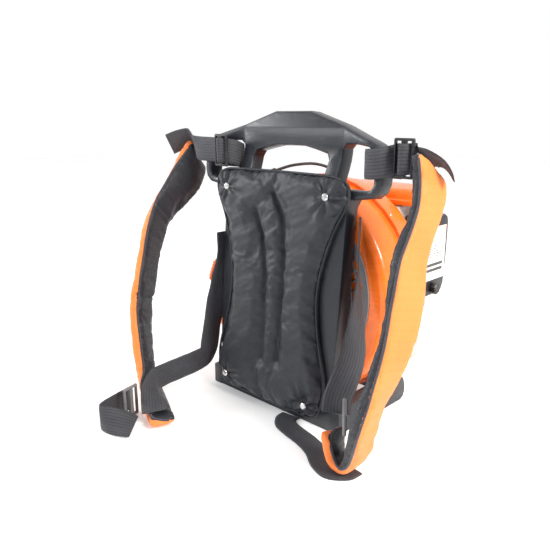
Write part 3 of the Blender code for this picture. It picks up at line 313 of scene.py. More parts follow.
label_low, label_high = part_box("rating_label")
LOOKS = {
    "frame_plastic": moulded("frame_plastic", (0.016, 0.019, 0.026), 0.36, 0.00012, 0.35, 0.10),
    "black_plastic": moulded("black_plastic", (0.012, 0.012, 0.015), 0.36, 0.00010, 0.2, 0.10),
    "orange_plastic": moulded("orange_plastic", (0.96, 0.165, 0.012), 0.28, 0.00004, 0.15, Coat_Weight=0.25),
    "grey_plastic": moulded("grey_plastic", (0.17, 0.17, 0.18), 0.5, 0.00008, 0.3, 0.15, 0.0008),
    "light_plastic": moulded("light_plastic", (0.50, 0.49, 0.46), 0.38, 0.00005, 0.1, 0.05),
    "label_white": printed("label_white", label_low.yz, label_high.yz),
    "cast_alloy": metal("cast_alloy", (0.55, 0.56, 0.57), 0.48, 0.00025),
    "steel": metal("steel", (0.72, 0.72, 0.71), 0.24, 0.00003, 1500),
    "dark_steel": metal("dark_steel", (0.16, 0.14, 0.12), 0.5, 0.0001, 500),
    "rubber": rubbery("rubber", (0.016, 0.016, 0.016)),
    "nylon_black": woven("nylon_black", (0.010, 0.013, 0.021), (0.004, 0.005, 0.009), rough=0.46, sheen=0.06),
    "nylon_orange": woven("nylon_orange", (1.0, 0.270, 0.055), (0.95, 0.17, 0.020), rough=0.58, sheen=0.08),
    "webbing": band("webbing", (0.045, 0.046, 0.055), (0.010, 0.010, 0.013)),
    "foam": foamed("foam", (0.03, 0.03, 0.03)),
}
PIPING = woven("piping", (0.055, 0.050, 0.062), (0.02, 0.018, 0.024), 0.0009)


def dress_cad_nodes():
    """Each CAD node gets its finish, welded and smooth between its hard edges."""
    slots = {row["node"]: row["material_slot"] for row in frame["record"]["subparts"]}
    for name, obj in frame["nodes"].items():
        obj.data.materials.clear()
        obj.data.materials.append(LOOKS[slots[name]])
        obj.data.shade_smooth()
        weld = obj.modifiers.new("weld", "WELD")
        weld.merge_threshold = 0.00002
        split = obj.modifiers.new("edges", "EDGE_SPLIT")
        split.split_angle = math.radians(32)


# ---------------------------------------------------------------- shapes
def at(points):
    """Points of the CAD source, moved as the CAD moves them."""
    return [Vector((x, y + SHIFT_Y, z)) for x, y, z in points]


def path_of(points, per):
    """A smooth path of points through the given ones."""
    pts = [Vector(p) for p in points]
    ends = [pts[0] * 2 - pts[1]] + pts + [pts[-1] * 2 - pts[-2]]
    out = []
    for p0, p1, p2, p3 in zip(ends, ends[1:], ends[2:], ends[3:]):
        for k in range(per):
            t = k / per
            slope = (p2 - p0) * t
            curve = (2 * p0 - 5 * p1 + 4 * p2 - p3) * t * t + (3 * p1 - p0 - 3 * p2 + p3) * t**3
            out.append(p1 + 0.5 * (slope + curve))
    out.append(pts[-1])
    return out


def mirrored(half):
    """A closed loop from its right half, listed from the bottom up."""
    return half + [(-x, z) for x, z in reversed(half) if x > 1e-6]


class Strip:
    """Evenly spaced stations between two edges: centre, tangent, width direction, normal and width."""

    def __init__(self, edges, step, inset=0.0):
        first, second = (path_of(at(edge), 12) for edge in edges)
        path = [(a + b) / 2 for a, b in zip(first, second)]
        dirs = [(b - a).normalized() for a, b in zip(first, second)]
        wide = [(b - a).length - 2 * inset for a, b in zip(first, second)]
        length = [0.0]
        for a, b in zip(path, path[1:]):
            length.append(length[-1] + (b - a).length)
        self.length = length[-1]
        self.count = max(8, round(self.length / step))
        self.s = np.linspace(0, self.length, self.count + 1)
        cols = [np.interp(self.s, length, [p[k] for p in path]) for k in range(3)]
        turn = [np.interp(self.s, length, [d[k] for d in dirs]) for k in range(3)]
        self.width = np.interp(self.s, length, wide)
        self.p = [Vector(c) for c in zip(*cols)]
        self.t, self.w, self.n = [], [], []
        for i in range(self.count + 1):
            t = (self.p[min(i + 1, self.count)] - self.p[max(i - 1, 0)]).normalized()
            w = Vector((turn[0][i], turn[1][i], turn[2][i])).normalized()
            self.t.append(t)
            self.w.append(w)
            self.n.append(t.cross(w).normalized())

    def nearest(self, co):
        """Station index and (across, out) coordinates of each of the points."""
        lanes = np.linspace(-0.5, 0.5, 13)
        tree = KDTree((self.count + 1) * len(lanes))
        for i in range(self.count + 1):
            for k, lane in enumerate(lanes):
                tree.insert(self.p[i] + self.w[i] * (lane * self.width[i]), i * len(lanes) + k)
        tree.balance()
        found = np.array([tree.find(c)[1] // len(lanes) for c in co])
        away = co - np.array(self.p)[found]
        across = (away * np.array(self.w)[found]).sum(1)
        out = (away * np.array(self.n)[found]).sum(1)
        return found, across, out


def edges_of(points, across, width):
    """Both edges of a strip from its centre line, width directions and width."""
    centre = [Vector(p) for p in points]
    ends = [centre[0] * 2 - centre[1]] + centre + [centre[-1] * 2 - centre[-2]]
    low, high = [], []
    for i, (p, d) in enumerate(zip(centre, across)):
        t = (ends[i + 2] - ends[i]).normalized()
        d = Vector(d)
        half = (d - t * d.dot(t)).normalized() * (width / 2)
        low.append(p - half)
        high.append(p + half)
    return low, high


def mesh_object(name, verts, faces, mats, uvs=None, smooth=True):
    """A new mesh piece; uvs gives (u, v) for each corner of each face in turn."""
    mesh = bpy.data.meshes.new(name)
    mesh.from_pydata([tuple(v) for v in verts], [], faces)
    if uvs is not None:
        layer = mesh.uv_layers.new(name="weave")
        layer.data.foreach_set("uv", np.array(uvs, float).ravel())
    for mat in mats:
        mesh.materials.append(mat)
    if smooth:
        mesh.shade_smooth()
    obj = bpy.data.objects.new(name, mesh)
    scene.collection.objects.link(obj)
    return obj


def webbing(name, points, across, width, replaces, thick=0.0019, wave=0.0, seed=0.0, slot="webbing"):
    """A woven strip with round edges, whose middle is slightly fuller."""
    strip = Strip(edges_of(points, across, width), 0.0035)
    ring = []
    lanes = 8
    for k in range(lanes + 1):
        v = k / lanes
        ring.append((v, 1.0 if 0 < k < lanes else 0.35))
    outline = [(v, h) for v, h in ring] + [(v, -h) for v, h in reversed(ring)]
    verts, faces, uvs = [], [], []
    for i in range(strip.count + 1):
        for v, h in outline:
            ripple = wave * noise.noise(Vector((strip.s[i] * 28, v * 1.6, seed)))
            edge = 0.5 * wave * noise.noise(Vector((strip.s[i] * 45, 7.0, seed)))
            x = (v - 0.5) * strip.width[i] + edge
            z = h * thick / 2 + ripple
            verts.append(strip.p[i] + strip.w[i] * x + strip.n[i] * z)
    m = len(outline)
    for i in range(strip.count):
        for k in range(m):
            j = (k + 1) % m
            faces.append((i * m + k, i * m + j, (i + 1) * m + j, (i + 1) * m + k))
            u0, u1 = strip.s[i], strip.s[i + 1]
            v0, v1 = outline[k][0], outline[j][0]
            uvs += [(u0, v0), (u0, v1), (u1, v1), (u1, v0)]
    for row in (0, strip.count):
        loop = [row * m + k for k in range(m)]
        faces.append(tuple(loop[::-1] if row else loop))
        uvs += [(strip.s[row], outline[k][0]) for k in (range(m)[::-1] if row else range(m))]
    obj = mesh_object(name, verts, faces, [LOOKS[slot]], uvs)
    bm = bmesh.new()
    bm.from_mesh(obj.data)
    bmesh.ops.recalc_face_normals(bm, faces=bm.faces)
    bm.to_mesh(obj.data)
    bm.free()
    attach(obj, BODY)
    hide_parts(replaces)
    return obj


def evaluated(obj):
    """The object's mesh with its modifiers, as a new mesh."""
    bpy.context.view_layer.update()
    graph = bpy.context.evaluated_depsgraph_get()
    return bpy.data.meshes.new_from_object(obj.evaluated_get(graph))


def coords(mesh):
    co = np.empty(len(mesh.vertices) * 3)
    mesh.vertices.foreach_get("co", co)
    return co.reshape(-1, 3)


def bake_in(obj):
    """Applies the object's modifiers."""
    mesh = evaluated(obj)
    old = obj.data
    obj.modifiers.clear()
    obj.data = mesh
    bpy.data.meshes.remove(old)


def remeshed(obj, voxel):
    mod = obj.modifiers.new("remesh", "REMESH")
    mod.mode = "VOXEL"
    mod.voxel_size = voxel
    mod.use_smooth_shade = True
    bake_in(obj)


def swell(jobs, frames=20):
    """Runs cloth under pressure on every job (object, pressure, growth, cap, pins) at once and applies it."""
    rest = {}
    for obj, pressure, growth, _, pins in jobs:
        rest[obj.name] = coords(obj.data)
        cloth = obj.modifiers.new("cloth", "CLOTH")
        cloth.settings.quality = 6
        cloth.settings.mass = 0.25
        cloth.settings.tension_stiffness = 20
        cloth.settings.compression_stiffness = 12
        cloth.settings.shear_stiffness = 6
        cloth.settings.bending_stiffness = 0.15
        cloth.settings.use_pressure = True
        cloth.settings.uniform_pressure_force = pressure
        cloth.settings.shrink_min = -growth
        cloth.settings.effector_weights.gravity = 0
        if pins is not None:
            group = obj.vertex_groups.new(name="pins")
            group.add([int(i) for i in np.flatnonzero(pins)], 1.0, "REPLACE")
            cloth.settings.vertex_group_mass = "pins"
    for f in range(1, frames + 1):
        scene.frame_set(f)
    for obj, _, _, cap, _ in jobs:
        bake_in(obj)
        start = rest[obj.name]
        move = coords(obj.data) - start
        size = np.linalg.norm(move, axis=1, keepdims=True)
        move *= np.minimum(1, cap / np.maximum(size, 1e-9))
        obj.data.vertices.foreach_set("co", (start + move).ravel())
        obj.data.update()
    scene.frame_set(1)


def subdivided(obj, levels=1):
    mod = obj.modifiers.new("finer", "SUBSURF")
    mod.levels = levels
    mod.render_levels = levels
    bake_in(obj)
    obj.data.shade_smooth()


def push(obj, amounts):
    """Moves each vertex along its normal."""
    mesh = obj.data
    normals = np.empty(len(mesh.vertices) * 3)
    mesh.vertices.foreach_get("normal", normals)
    co = coords(mesh) + normals.reshape(-1, 3) * amounts[:, None]
    mesh.vertices.foreach_set("co", co.ravel())
    mesh.update()


def set_uv(obj, uv):
    """Writes a UV for each vertex onto its corners."""
    mesh = obj.data
    layer = mesh.uv_layers.get("weave") or mesh.uv_layers.new(name="weave")
    index = np.empty(len(mesh.loops), int)
    mesh.loops.foreach_get("vertex_index", index)
    layer.data.foreach_set("uv", uv[index].astype(float).ravel())


def cord_along(name, points, radius, mat, closed=False):
    """A round piping or thread through the points."""
    data = bpy.data.curves.new(name, "CURVE")
    data.dimensions = "3D"
    data.bevel_depth = radius
    data.bevel_resolution = 2
    data.use_fill_caps = not closed
    spline = data.splines.new("POLY")
    spline.points.add(len(points) - 1)
    spline.use_cyclic_u = closed
    for q, p in zip(spline.points, points):
        q.co = (*p, 1)
    data.materials.append(mat)
    obj = bpy.data.objects.new(name, data)
    scene.collection.objects.link(obj)
    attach(obj, BODY)
    return obj


# ---------------------------------------------------------------- shoulder pads
HALF_PAD = 0.0074
# Front and rear edge of each pad, from the shoulder down
RIGHT_EDGES = [
    ((0.2388, -0.0940, 0.4150), (0.2406, -0.0820, 0.4132)),
    ((0.2398, -0.0960, 0.4010), (0.2448, -0.0571, 0.3943)),
    ((0.2403, -0.0960, 0.3850), (0.2490, -0.0321, 0.3731)),
    ((0.2463, -0.1070, 0.3560), (0.2529, -0.0381, 0.3494)),
    ((0.2503, -0.1260, 0.3300), (0.2547, -0.0571, 0.3191)),
    ((0.2513, -0.1480, 0.2970), (0.2588, -0.0811, 0.2830)),
    ((0.2543, -0.1650, 0.2530), (0.2674, -0.0982, 0.2388)),
    ((0.2563, -0.1800, 0.2030), (0.2683, -0.1122, 0.1888)),
    ((0.2543, -0.1940, 0.1590), (0.2585, -0.1260, 0.1516)),
    ((0.2503, -0.2020, 0.1200), (0.2431, -0.1390, 0.1117)),
    ((0.2403, -0.2040, 0.0800), (0.2343, -0.1440, 0.0680)),
    ((0.2243, -0.1920, 0.0420), (0.2273, -0.1420, 0.0380)),
    ((0.2133, -0.1860, 0.0200), (0.2123, -0.1440, 0.0190)),
    ((0.2023, -0.1820, 0.0135), (0.1963, -0.1440, 0.0135)),
    ((0.1908, -0.1830, 0.0220), (0.1863, -0.1420, 0.0210)),
    ((0.1833, -0.1840, 0.0420), (0.1853, -0.1400, 0.0390)),
    ((0.1763, -0.1820, 0.0600), (0.1873, -0.1380, 0.0560)),
]
LEFT_EDGES = [
    ((-0.2290, -0.0660, 0.4200), (-0.2325, -0.0235, 0.3621)),
    ((-0.2460, -0.0820, 0.3880), (-0.2277, -0.0421, 0.3298)),
    ((-0.2510, -0.1070, 0.3520), (-0.2410, -0.0603, 0.3019)),
    ((-0.2500, -0.1370, 0.3150), (-0.2610, -0.0877, 0.2690)),
    ((-0.2480, -0.1580, 0.2710), (-0.2671, -0.1059, 0.2327)),
    ((-0.2460, -0.1720, 0.2260), (-0.2701, -0.1165, 0.1967)),
    ((-0.2430, -0.1850, 0.1820), (-0.2692, -0.1274, 0.1590)),
    ((-0.2390, -0.1950, 0.1500), (-0.2658, -0.1383, 0.1273)),
    ((-0.2310, -0.2010, 0.1130), (-0.2578, -0.1463, 0.0872)),
    ((-0.2190, -0.2060, 0.0770), (-0.2434, -0.1552, 0.0496)),
    ((-0.2010, -0.2150, 0.0400), (-0.2080, -0.1720, 0.0220)),
    ((-0.1760, -0.2320, 0.0180), (-0.1640, -0.1880, 0.0120)),
    ((-0.1400, -0.2520, 0.0110), (-0.1180, -0.2090, 0.0110)),
    ((-0.1060, -0.2690, 0.0100), (-0.0820, -0.2290, 0.0110)),
    ((-0.0740, -0.2830, 0.0110), (-0.0540, -0.2460, 0.0190)),
]


def cushion_core(name, strip, thick):
    """A pad-shaped loft: its section is a rounded rectangle, and its ends are rounded."""
    around = 32
    verts, faces = [], []
    for i in range(strip.count + 1):
        reach = min(strip.s[i], strip.length - strip.s[i]) / 0.010
        taper = math.sqrt(max(0.20, 1 - (1 - min(1.0, reach)) ** 2))
        for k in range(around):
            a = 2 * math.pi * k / around
            c, z = math.cos(a), math.sin(a)
            x = math.copysign(abs(c) ** 0.5, c) * strip.width[i] / 2 * (0.85 + 0.15 * taper)
            y = math.copysign(abs(z) ** 0.55, z) * thick / 2 * taper
            verts.append(strip.p[i] + strip.w[i] * x + strip.n[i] * y)
    for i in range(strip.count):
        for k in range(around):
            j = (k + 1) % around
            faces.append((i * around + k, i * around + j, (i + 1) * around + j, (i + 1) * around + k))
    faces.append(tuple(range(around))[::-1])
    faces.append(tuple(strip.count * around + k for k in range(around)))
    obj = mesh_object(name, verts, faces, [])
    bm = bmesh.new()
    bm.from_mesh(obj.data)
    bmesh.ops.recalc_face_normals(bm, faces=bm.faces)
    bm.to_mesh(obj.data)
    bm.free()
    return obj


def lean_of(strip, flip, change):
    """Which way the dividing seam leans at each station: flip is 1 where the front edge's seam is on the
    side that the strip's normals point to, and it turns over at change from the end."""
    if not change:
        return np.full(strip.count + 1, float(flip))
    return flip * np.clip((strip.length - change - strip.s) / 0.02, -1, 1)


def rim_points(obj, strip, lean, lift):
    """The seam between the two cloths, found with rays: down the front edge, round, and up the rear one."""
    tree = BVHTree.FromPolygons(
        [v.co for v in obj.data.vertices], [tuple(p.vertices) for p in obj.data.polygons]
    )

    def ray(i, turn):
        """Turn goes from 0, the front seam, past 0.5, the pad's end, to 1, the rear seam."""
        a = math.pi * turn
        corner = strip.n[i] * (HALF_PAD * lean[i]) - strip.w[i] * (strip.width[i] / 2)
        return strip.p[i], corner * math.cos(a) + strip.t[i] * (0.02 * math.sin(a) * (1 if i > 9 else -1))

    first, last = 2, strip.count - 2
    rays = [ray(i, 0) for i in range(first, last + 1)]
    rays += [ray(last, k / 12) for k in range(1, 12)]
    rays += [ray(i, 1) for i in range(last, first - 1, -1)]
    rays += [ray(first, 1 - k / 12) for k in range(1, 12)]
    out = []
    for origin, corner in rays:
        direction = corner.normalized()
        hit = tree.ray_cast(origin + corner * 1.6, -direction, 0.09)[0]
        if hit is not None:
            out.append(hit + direction * lift)
    n = len(out)
    for _ in range(3):
        near = [(out[i - 2] + out[(i + 2) % n], out[i - 1] + out[(i + 1) % n], out[i]) for i in range(n)]
        out = [(far + 2 * next_to + 3 * own) / 9 for far, next_to, own in near]
    return out


def finish_cushion(obj, strip, outer, change, seams, node_name, seed):
    """Wrinkles, sewn seams, two cloths and piping on a swollen shoulder pad."""
    subdivided(obj)
    co = coords(obj.data)
    found, across, out = strip.nearest(co)
    s = strip.s[found]
    half = strip.width[found] / 2
    edge = np.clip(1 - np.abs(across) / half, 0, 1)
    amounts = np.zeros(len(co))
    bend = np.zeros(strip.count + 1)
    for i in range(2, strip.count - 1):
        bend[i] = (strip.t[i + 2 if i + 2 <= strip.count else i] - strip.t[i - 2]).length
    bend = np.convolve(bend, np.ones(9) / 9, "same")[found]
    for i, c in enumerate(co):
        flow = Vector((s[i] * 85, across[i] * 16, seed + (0 if out[i] * outer > 0 else 9)))
        fold = noise.noise(flow) + 0.5 * noise.noise(flow * 2.1)
        tight = 0.25 + min(1.0, bend[i] * 9) * (1.3 if out[i] * outer < 0 else 0.6)
        amounts[i] = 0.0011 * fold * tight * min(1.0, edge[i] * 6)
        gather = 0.5 + noise.noise(Vector((s[i] * 160, 3, seed)))
        amounts[i] -= 0.0012 * math.exp(-((edge[i] / 0.10) ** 2)) * gather
    for at_s, depth in seams:
        amounts -= depth * np.exp(-(((s - at_s) / 0.0032) ** 2)) * (out * outer < 0)
    push(obj, amounts)
    set_uv(obj, np.stack([s, across + 0.2 * (out * outer > 0)], 1))
    obj.data.materials.clear()
    obj.data.materials.append(LOOKS["nylon_orange"])
    obj.data.materials.append(LOOKS["nylon_black"])
    index = []
    lean = lean_of(strip, 1, change)
    slant = out * outer / HALF_PAD + 0.8 * lean[found] * outer * across / half
    for poly in obj.data.polygons:
        index.append(0 if np.mean(slant[list(poly.vertices)]) > 0 else 1)
    obj.data.polygons.foreach_set("material_index", index)
    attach(obj, BODY)
    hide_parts(node_name)
    rim = rim_points(obj, strip, lean, 0.0002)
    cord_along(node_name + "_piping", rim, 0.0018, PIPING, True)
    return obj


# ---------------------------------------------------------------- back pad
PAD_LOOP = mirrored([
    (0.060, 0.016), (0.094, 0.018), (0.108, 0.030), (0.115, 0.060), (0.112, 0.090),
    (0.099, 0.138), (0.092, 0.180), (0.091, 0.215), (0.098, 0.255), (0.113, 0.300),
    (0.128, 0.330), (0.134, 0.348), (0.132, 0.364), (0.120, 0.374), (0.080, 0.378),
])
PAD_THICK = 0.0165
GROOVES = [
    [(-0.041, 0.316), (-0.022, 0.282), (-0.012, 0.220), (-0.012, 0.159), (-0.012, 0.085)],
    [(-0.004, 0.348), (0.018, 0.312), (0.025, 0.260), (0.025, 0.216), (0.024, 0.142), (0.021, 0.089)],
]
SNAPS = [(-0.102, 0.349), (0.102, 0.349), (-0.088, 0.036), (0.088, 0.036)]


def pad_place():
    z = Vector((0, -1, LEAN)).normalized()
    y = Vector((0, LEAN, 1)).normalized()
    turn = Matrix((Vector((1, 0, 0)), y, z)).transposed().to_4x4()
    return Matrix.Translation((0, PLATE_Y, 0)) @ turn


def distance_to(co, line):
    """Least in-plane distance of each point from a polyline."""
    best = np.full(len(co), 1.0)
    for a, b in zip(line, line[1:]):
        a, b = np.array(a), np.array(b)
        d = b - a
        t = np.clip(((co[:, :2] - a) @ d) / (d @ d), 0, 1)
        best = np.minimum(best, np.linalg.norm(co[:, :2] - a - t[:, None] * d, axis=1))
    return best


def pad_core():
    """The quilted pad before it swells, in the plate's own plane: X, height, and out from the plate."""
    bm = bmesh.new()
    loop = path_of([(x, h, 0) for x, h in PAD_LOOP] + [(*PAD_LOOP[0], 0)], 3)[:-1]
    low = [bm.verts.new((p.x, p.y, 0.0010)) for p in loop]
    high = [bm.verts.new((p.x, p.y, PAD_THICK)) for p in loop]
    n = len(loop)
    for i in range(n):
        j = (i + 1) % n
        bm.faces.new((low[i], low[j], high[j], high[i]))
    bm.faces.new(low[::-1])
    bm.faces.new(high)
    bmesh.ops.recalc_face_normals(bm, faces=bm.faces)
    mesh = bpy.data.meshes.new("pad_quilted")
    bm.to_mesh(mesh)
    bm.free()
    obj = bpy.data.objects.new("pad_quilted", mesh)
    scene.collection.objects.link(obj)
    remeshed(obj, 0.0033)
    co = coords(obj.data)
    rim = distance_to(co, [tuple(p[:2]) for p in loop] + [tuple(loop[0][:2])])
    height = (co[:, 2] - 0.0010) / (PAD_THICK - 0.0010)
    near = np.minimum(*(distance_to(co, line) for line in GROOVES))
    crown = np.sqrt(np.clip(1 - (1 - np.clip(rim / 0.020, 0, 1)) ** 2, 0.0, 1))
    crown *= 0.15 + 0.85 * np.sqrt(np.clip(1 - (1 - np.clip(near / 0.017, 0, 1)) ** 2, 0.0, 1))
    front = np.clip(height, 0, 1)
    co[:, 2] = 0.0010 + front * (PAD_THICK - 0.0010) * (0.46 + 0.54 * crown)
    deep = np.exp(-((near / 0.0042) ** 2))
    co[:, 2] -= deep * front * 0.0050
    for x, h in SNAPS:
        r = np.hypot(co[:, 0] - x, co[:, 1] - h)
        target = 0.0190 - co[:, 2]
        co[:, 2] += np.exp(-((r / 0.008) ** 2)) * front * target
    obj.data.vertices.foreach_set("co", co.ravel())
    obj.data.update()
    pins = (front < 0.30) | ((deep > 0.45) & (front > 0.5))
    for x, h in SNAPS:
        pins |= np.hypot(co[:, 0] - x, co[:, 1] - h) < 0.0062
    return obj, pins


def finish_pad(obj):
    subdivided(obj)
    co = coords(obj.data)
    rim = distance_to(co, PAD_LOOP + [PAD_LOOP[0]])
    front = np.clip((co[:, 2] - 0.003) / 0.012, 0, 1)
    amounts = np.zeros(len(co))
    for i, (x, h, _) in enumerate(co):
        slant = Vector((x * 14 + h * 20, h * 60 - x * 34, 2.0))
        fold = noise.noise(slant) + 0.45 * noise.noise(slant * 2.1)
        amounts[i] = 0.0012 * fold * front[i]
        pucker = noise.noise(Vector((x * 130, h * 130, 5.0)))
        amounts[i] += 0.0014 * pucker * math.exp(-((rim[i] / 0.012) ** 2)) * front[i]
        for sx, sh in SNAPS:
            r = math.hypot(x - sx, h - sh)
            if r < 0.07:
                a = math.atan2(h - sh, x - sx)
                ray = math.cos(7 * a + 1.3 * math.sin(3 * a))
                amounts[i] += 0.0022 * ray * front[i] * math.exp(-(((r - 0.019) / 0.017) ** 2))
    push(obj, amounts)
    co = coords(obj.data)
    set_uv(obj, co[:, :2].copy())
    obj.data.transform(pad_place())
    obj.data.materials.clear()
    obj.data.materials.append(LOOKS["nylon_black"])
    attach(obj, BODY)
    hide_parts("back_pad")


def pad_piping():
    """Piping round the pad's rim."""
    turn = pad_place()
    loop = path_of([(x, h, 0) for x, h in PAD_LOOP] + [(*PAD_LOOP[0], 0)], 4)[:-1]
    rim = [turn @ Vector((p.x, p.y, 0.0085)) for p in loop]
    cord_along("pad_piping", rim, 0.0019, LOOKS["nylon_black"], True)


# ---------------------------------------------------------------- grille
MOUNT_X = 0.088
MOUNT_Z = (0.076, 0.316)
GRILLE_R = 0.150


def grille():
    """Concentric rings and radial bars with small square gaps, in place of the coarse CAD guard."""
    low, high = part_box("intake_grille")
    y0, y1 = low.y, high.y
    bm = bmesh.new()
    hub = 0.030
    rings = [hub + 0.0127 * k for k in range(1, 9)]
    steps = 120

    def clear(angle, r):
        """Whether this point is clear of the four mounts."""
        x, z = r * math.cos(angle), FAN_Z + r * math.sin(angle)
        return all(math.hypot(abs(x) - MOUNT_X, z - mount_z) > 0.0140 for mount_z in MOUNT_Z)

    def ring(r0, r1):
        rows = []
        for r, y in ((r0, y0), (r1, y0), (r1, y1), (r0, y1)):
            angles = [2 * math.pi * k / steps for k in range(steps)]
            rows.append([bm.verts.new((r * math.cos(a), y, FAN_Z + r * math.sin(a))) for a in angles])
        free = [clear(2 * math.pi * (k + 0.5) / steps, (r0 + r1) / 2) for k in range(steps)]
        for k in range(steps):
            j = (k + 1) % steps
            if free[k]:
                for a, b in zip(rows, rows[1:] + rows[:1]):
                    bm.faces.new((a[k], a[j], b[j], b[k]))
                if not free[k - 1]:
                    bm.faces.new([row[k] for row in rows])
                if not free[j]:
                    bm.faces.new([row[j] for row in rows][::-1])

    for r in rings:
        ring(r - 0.0013, r + 0.0013)
    ring(0.0005, hub)
    ring(GRILLE_R - 0.010, GRILLE_R)
    bmesh.ops.delete(bm, geom=[v for v in bm.verts if not v.link_faces], context="VERTS")
    spokes = 54
    for k in range(spokes):
        r0 = (0.028, 0.055, 0.068)[min(k % 3, 2)]
        angle = 2 * math.pi * k / spokes
        r1 = next((r for r in np.arange(0.10, 0.142, 0.002) if not clear(angle, r)), 0.142)
        turn = Matrix.Translation((0, 0, FAN_Z)) @ Matrix.Rotation(-angle, 4, "Y")
        size = Matrix.Diagonal((r1 - r0, (y1 - y0) * 0.9, 0.0026, 1))
        middle = Matrix.Translation(((r0 + r1) / 2, (y0 + y1) / 2, 0))
        bmesh.ops.create_cube(bm, size=1, matrix=turn @ middle @ size)
    bmesh.ops.recalc_face_normals(bm, faces=bm.faces)
    mesh = bpy.data.meshes.new("grille_fine")
    bm.to_mesh(mesh)
    bm.free()
    mesh.materials.append(LOOKS["grey_plastic"])
    obj = bpy.data.objects.new("grille_fine", mesh)
    scene.collection.objects.link(obj)
    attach(obj, BODY)
    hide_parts("intake_grille")


# ---------------------------------------------------------------- webbing
LOWER_PATH = [
    (0.1420, -0.0640, 0.3230), (0.1465, -0.0705, 0.2800), (0.1510, -0.0760, 0.2380),
]
LOWER_ACROSS = [(-0.62, 0.78, 0), (-0.60, 0.80, 0), (-0.50, 0.87, 0)]
WIDE = 0.0395


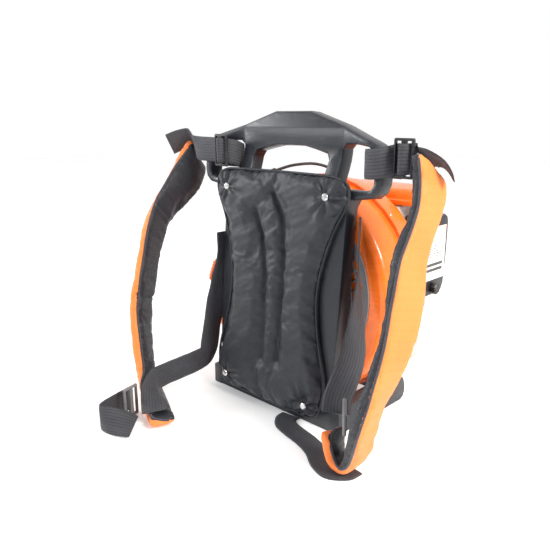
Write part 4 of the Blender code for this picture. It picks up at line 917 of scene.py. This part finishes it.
def straps():
    up = [(0, 0, 1)]
    points = [
        (0.1880, -0.0390, 0.3960), (0.1700, -0.0362, 0.3955), (0.1520, -0.0410, 0.3955),
        (0.1450, -0.0560, 0.3955), (0.1530, -0.0720, 0.3960), (0.1690, -0.0780, 0.3970),
        (0.1820, -0.0710, 0.3995), (0.1913, -0.0565, 0.4030), (0.1998, -0.0648, 0.4050),
        (0.2043, -0.0725, 0.4050), (0.2093, -0.0725, 0.4050), (0.2143, -0.0650, 0.4050),
        (0.2170, -0.0525, 0.4055), (0.2220, -0.0470, 0.4065), (0.2320, -0.0500, 0.4080),
        (0.2430, -0.0550, 0.4065), (0.2530, -0.0530, 0.4010), (0.2590, -0.0480, 0.3940),
        (0.2625, -0.0420, 0.3850),
    ]
    across = [(0, 0, 1)] * 11 + [(0, -0.1, 1), (0, -0.3, 0.95), (0, -0.6, 0.8)] + [(0, -0.8, 0.6)] * 5
    webbing("webbing_upper_right", points, across, WIDE, "upper_strap_right", wave=0.0004, seed=1.0)
    points = [
        (-0.1860, -0.0360, 0.3950), (-0.1650, -0.0330, 0.3940), (-0.1400, -0.0320, 0.3940),
        (-0.1170, -0.0390, 0.3940), (-0.1065, -0.0550, 0.3960), (-0.1075, -0.0700, 0.4010),
        (-0.1172, -0.0816, 0.4042), (-0.1213, -0.0900, 0.4045), (-0.1263, -0.0900, 0.4045),
        (-0.1313, -0.0825, 0.4045), (-0.1372, -0.0755, 0.4045), (-0.1500, -0.0740, 0.4045),
        (-0.1900, -0.0740, 0.4050), (-0.2100, -0.0690, 0.4090), (-0.2180, -0.0620, 0.4160),
        (-0.2280, -0.0560, 0.4205), (-0.2400, -0.0570, 0.4205), (-0.2540, -0.0680, 0.4160),
        (-0.2650, -0.0810, 0.4090),
    ]
    across = [(0, 0, 1)] * 13 + [(0, -0.3, 0.9)] + [(0, -0.58, 0.81)] * 5
    webbing("webbing_upper_left", points, across, WIDE, "upper_strap_left", wave=0.0004, seed=2.0)
    points = LOWER_PATH + [
        (0.1570, -0.0840, 0.1800), (0.1610, -0.0980, 0.1280), (0.1610, -0.1150, 0.1000),
        (0.1640, -0.1320, 0.0820), (0.1740, -0.1480, 0.0700),
    ]
    across = LOWER_ACROSS + [(0, 1, 0), (0.50, 0.87, 0), (0.80, 0.60, 0), (0.80, 0.60, 0), (0.75, 0.66, 0)]
    webbing("webbing_lower_right", points, across, WIDE, "lower_strap_right", wave=0.0010, seed=3.0)
    points = [
        (-0.1290, -0.0725, 0.2700), (-0.1292, -0.0725, 0.2350), (-0.1360, -0.0760, 0.1900),
        (-0.1425, -0.0850, 0.1450), (-0.1440, -0.0950, 0.1080), (-0.1430, -0.1010, 0.0830),
        (-0.1420, -0.1060, 0.0660), (-0.1410, -0.1150, 0.0545), (-0.1405, -0.1290, 0.0505),
        (-0.1405, -0.1560, 0.0480), (-0.1425, -0.1960, 0.0450),
        (-0.1380, -0.2230, 0.0430), (-0.1230, -0.2400, 0.0350), (-0.1020, -0.2520, 0.0265),
        (-0.0790, -0.2660, 0.0245),
    ]
    across = [(0, 1, 0), (0, 1, 0), (0.3, 0.95, 0), (0.2, 0.95, 0), (0, 1, 0)] + [
        (0, 0.97, -0.26), (0, 0.87, -0.5), (0, 0.5, -0.87), (0, 0.14, -0.99), (0, 0.05, -1), (0, 0, -1),
        (0.20, 0.15, -0.97), (0.50, 0.50, -0.60), (0.58, 0.80, -0.1), (0.55, 0.83, 0.1),
    ]
    webbing("webbing_lower_left", points, across, WIDE, "lower_strap_left", wave=0.0010, seed=4.0)
    points = [
        (-0.1530, -0.2640, 0.0205), (-0.1450, -0.2950, 0.0205), (-0.1360, -0.3220, 0.0205),
        (-0.1270, -0.3300, 0.0205), (-0.1130, -0.3240, 0.0200), (-0.0980, -0.3125, 0.0162),
        (-0.0840, -0.3010, 0.0116),
    ]
    across = [(0, 0, 1)] * 4 + [(-0.2, 0.25, 0.95), (-0.5, 0.5, 0.70), (-0.62, 0.62, 0.40)]
    webbing("webbing_tail_left", points, across, WIDE, "strap_tail_left", wave=0.0008, seed=5.0)
    points = [
        (0.2080, -0.1500, 0.0014), (0.2060, -0.1670, 0.0014), (0.1930, -0.1770, 0.0014),
        (0.1730, -0.1710, 0.0014), (0.1450, -0.1520, 0.0014), (0.1150, -0.1400, 0.0014),
        (0.0840, -0.1330, 0.0014), (0.0610, -0.1250, 0.0014), (0.0495, -0.1120, 0.0014),
        (0.0480, -0.0990, 0.0014),
    ]
    across = [
        (1.0, 0.1, 0), (0.95, -0.3, 0), (0.6, -0.8, 0), (-0.5, -0.87, 0), (-0.5, -0.87, 0),
        (-0.3, -0.95, 0), (-0.35, -0.94, 0), (-0.65, -0.75, 0), (-0.9, -0.4, 0), (-1, -0.1, 0),
    ]
    webbing("webbing_tail_right", points, across, 0.034, "strap_tail_right", wave=0.0002, seed=6.0)


camera()
studio()
dress_cad_nodes()

right = Strip(zip(*RIGHT_EDGES), 0.004, 0.0012)
left = Strip(zip(*LEFT_EDGES), 0.004, 0.0012)
right_pad = cushion_core("cushion_right", right, 0.0135)
left_pad = cushion_core("cushion_left", left, 0.0135)
remeshed(right_pad, 0.0042)
remeshed(left_pad, 0.0042)
back_pad, back_pins = pad_core()
swell([
    (right_pad, 3.0, 0.03, 0.004, None),
    (left_pad, 3.0, 0.03, 0.004, None),
    (back_pad, 5.0, 0.04, 0.005, back_pins),
])
finish_cushion(right_pad, right, 1, 0.055, [(0.33, 0.0030)], "shoulder_pad_right", 1.0)
finish_cushion(left_pad, left, -1, 0, [(0.275, 0.0030)], "shoulder_pad_left", 4.0)
finish_pad(back_pad)
pad_piping()
grille()
straps()
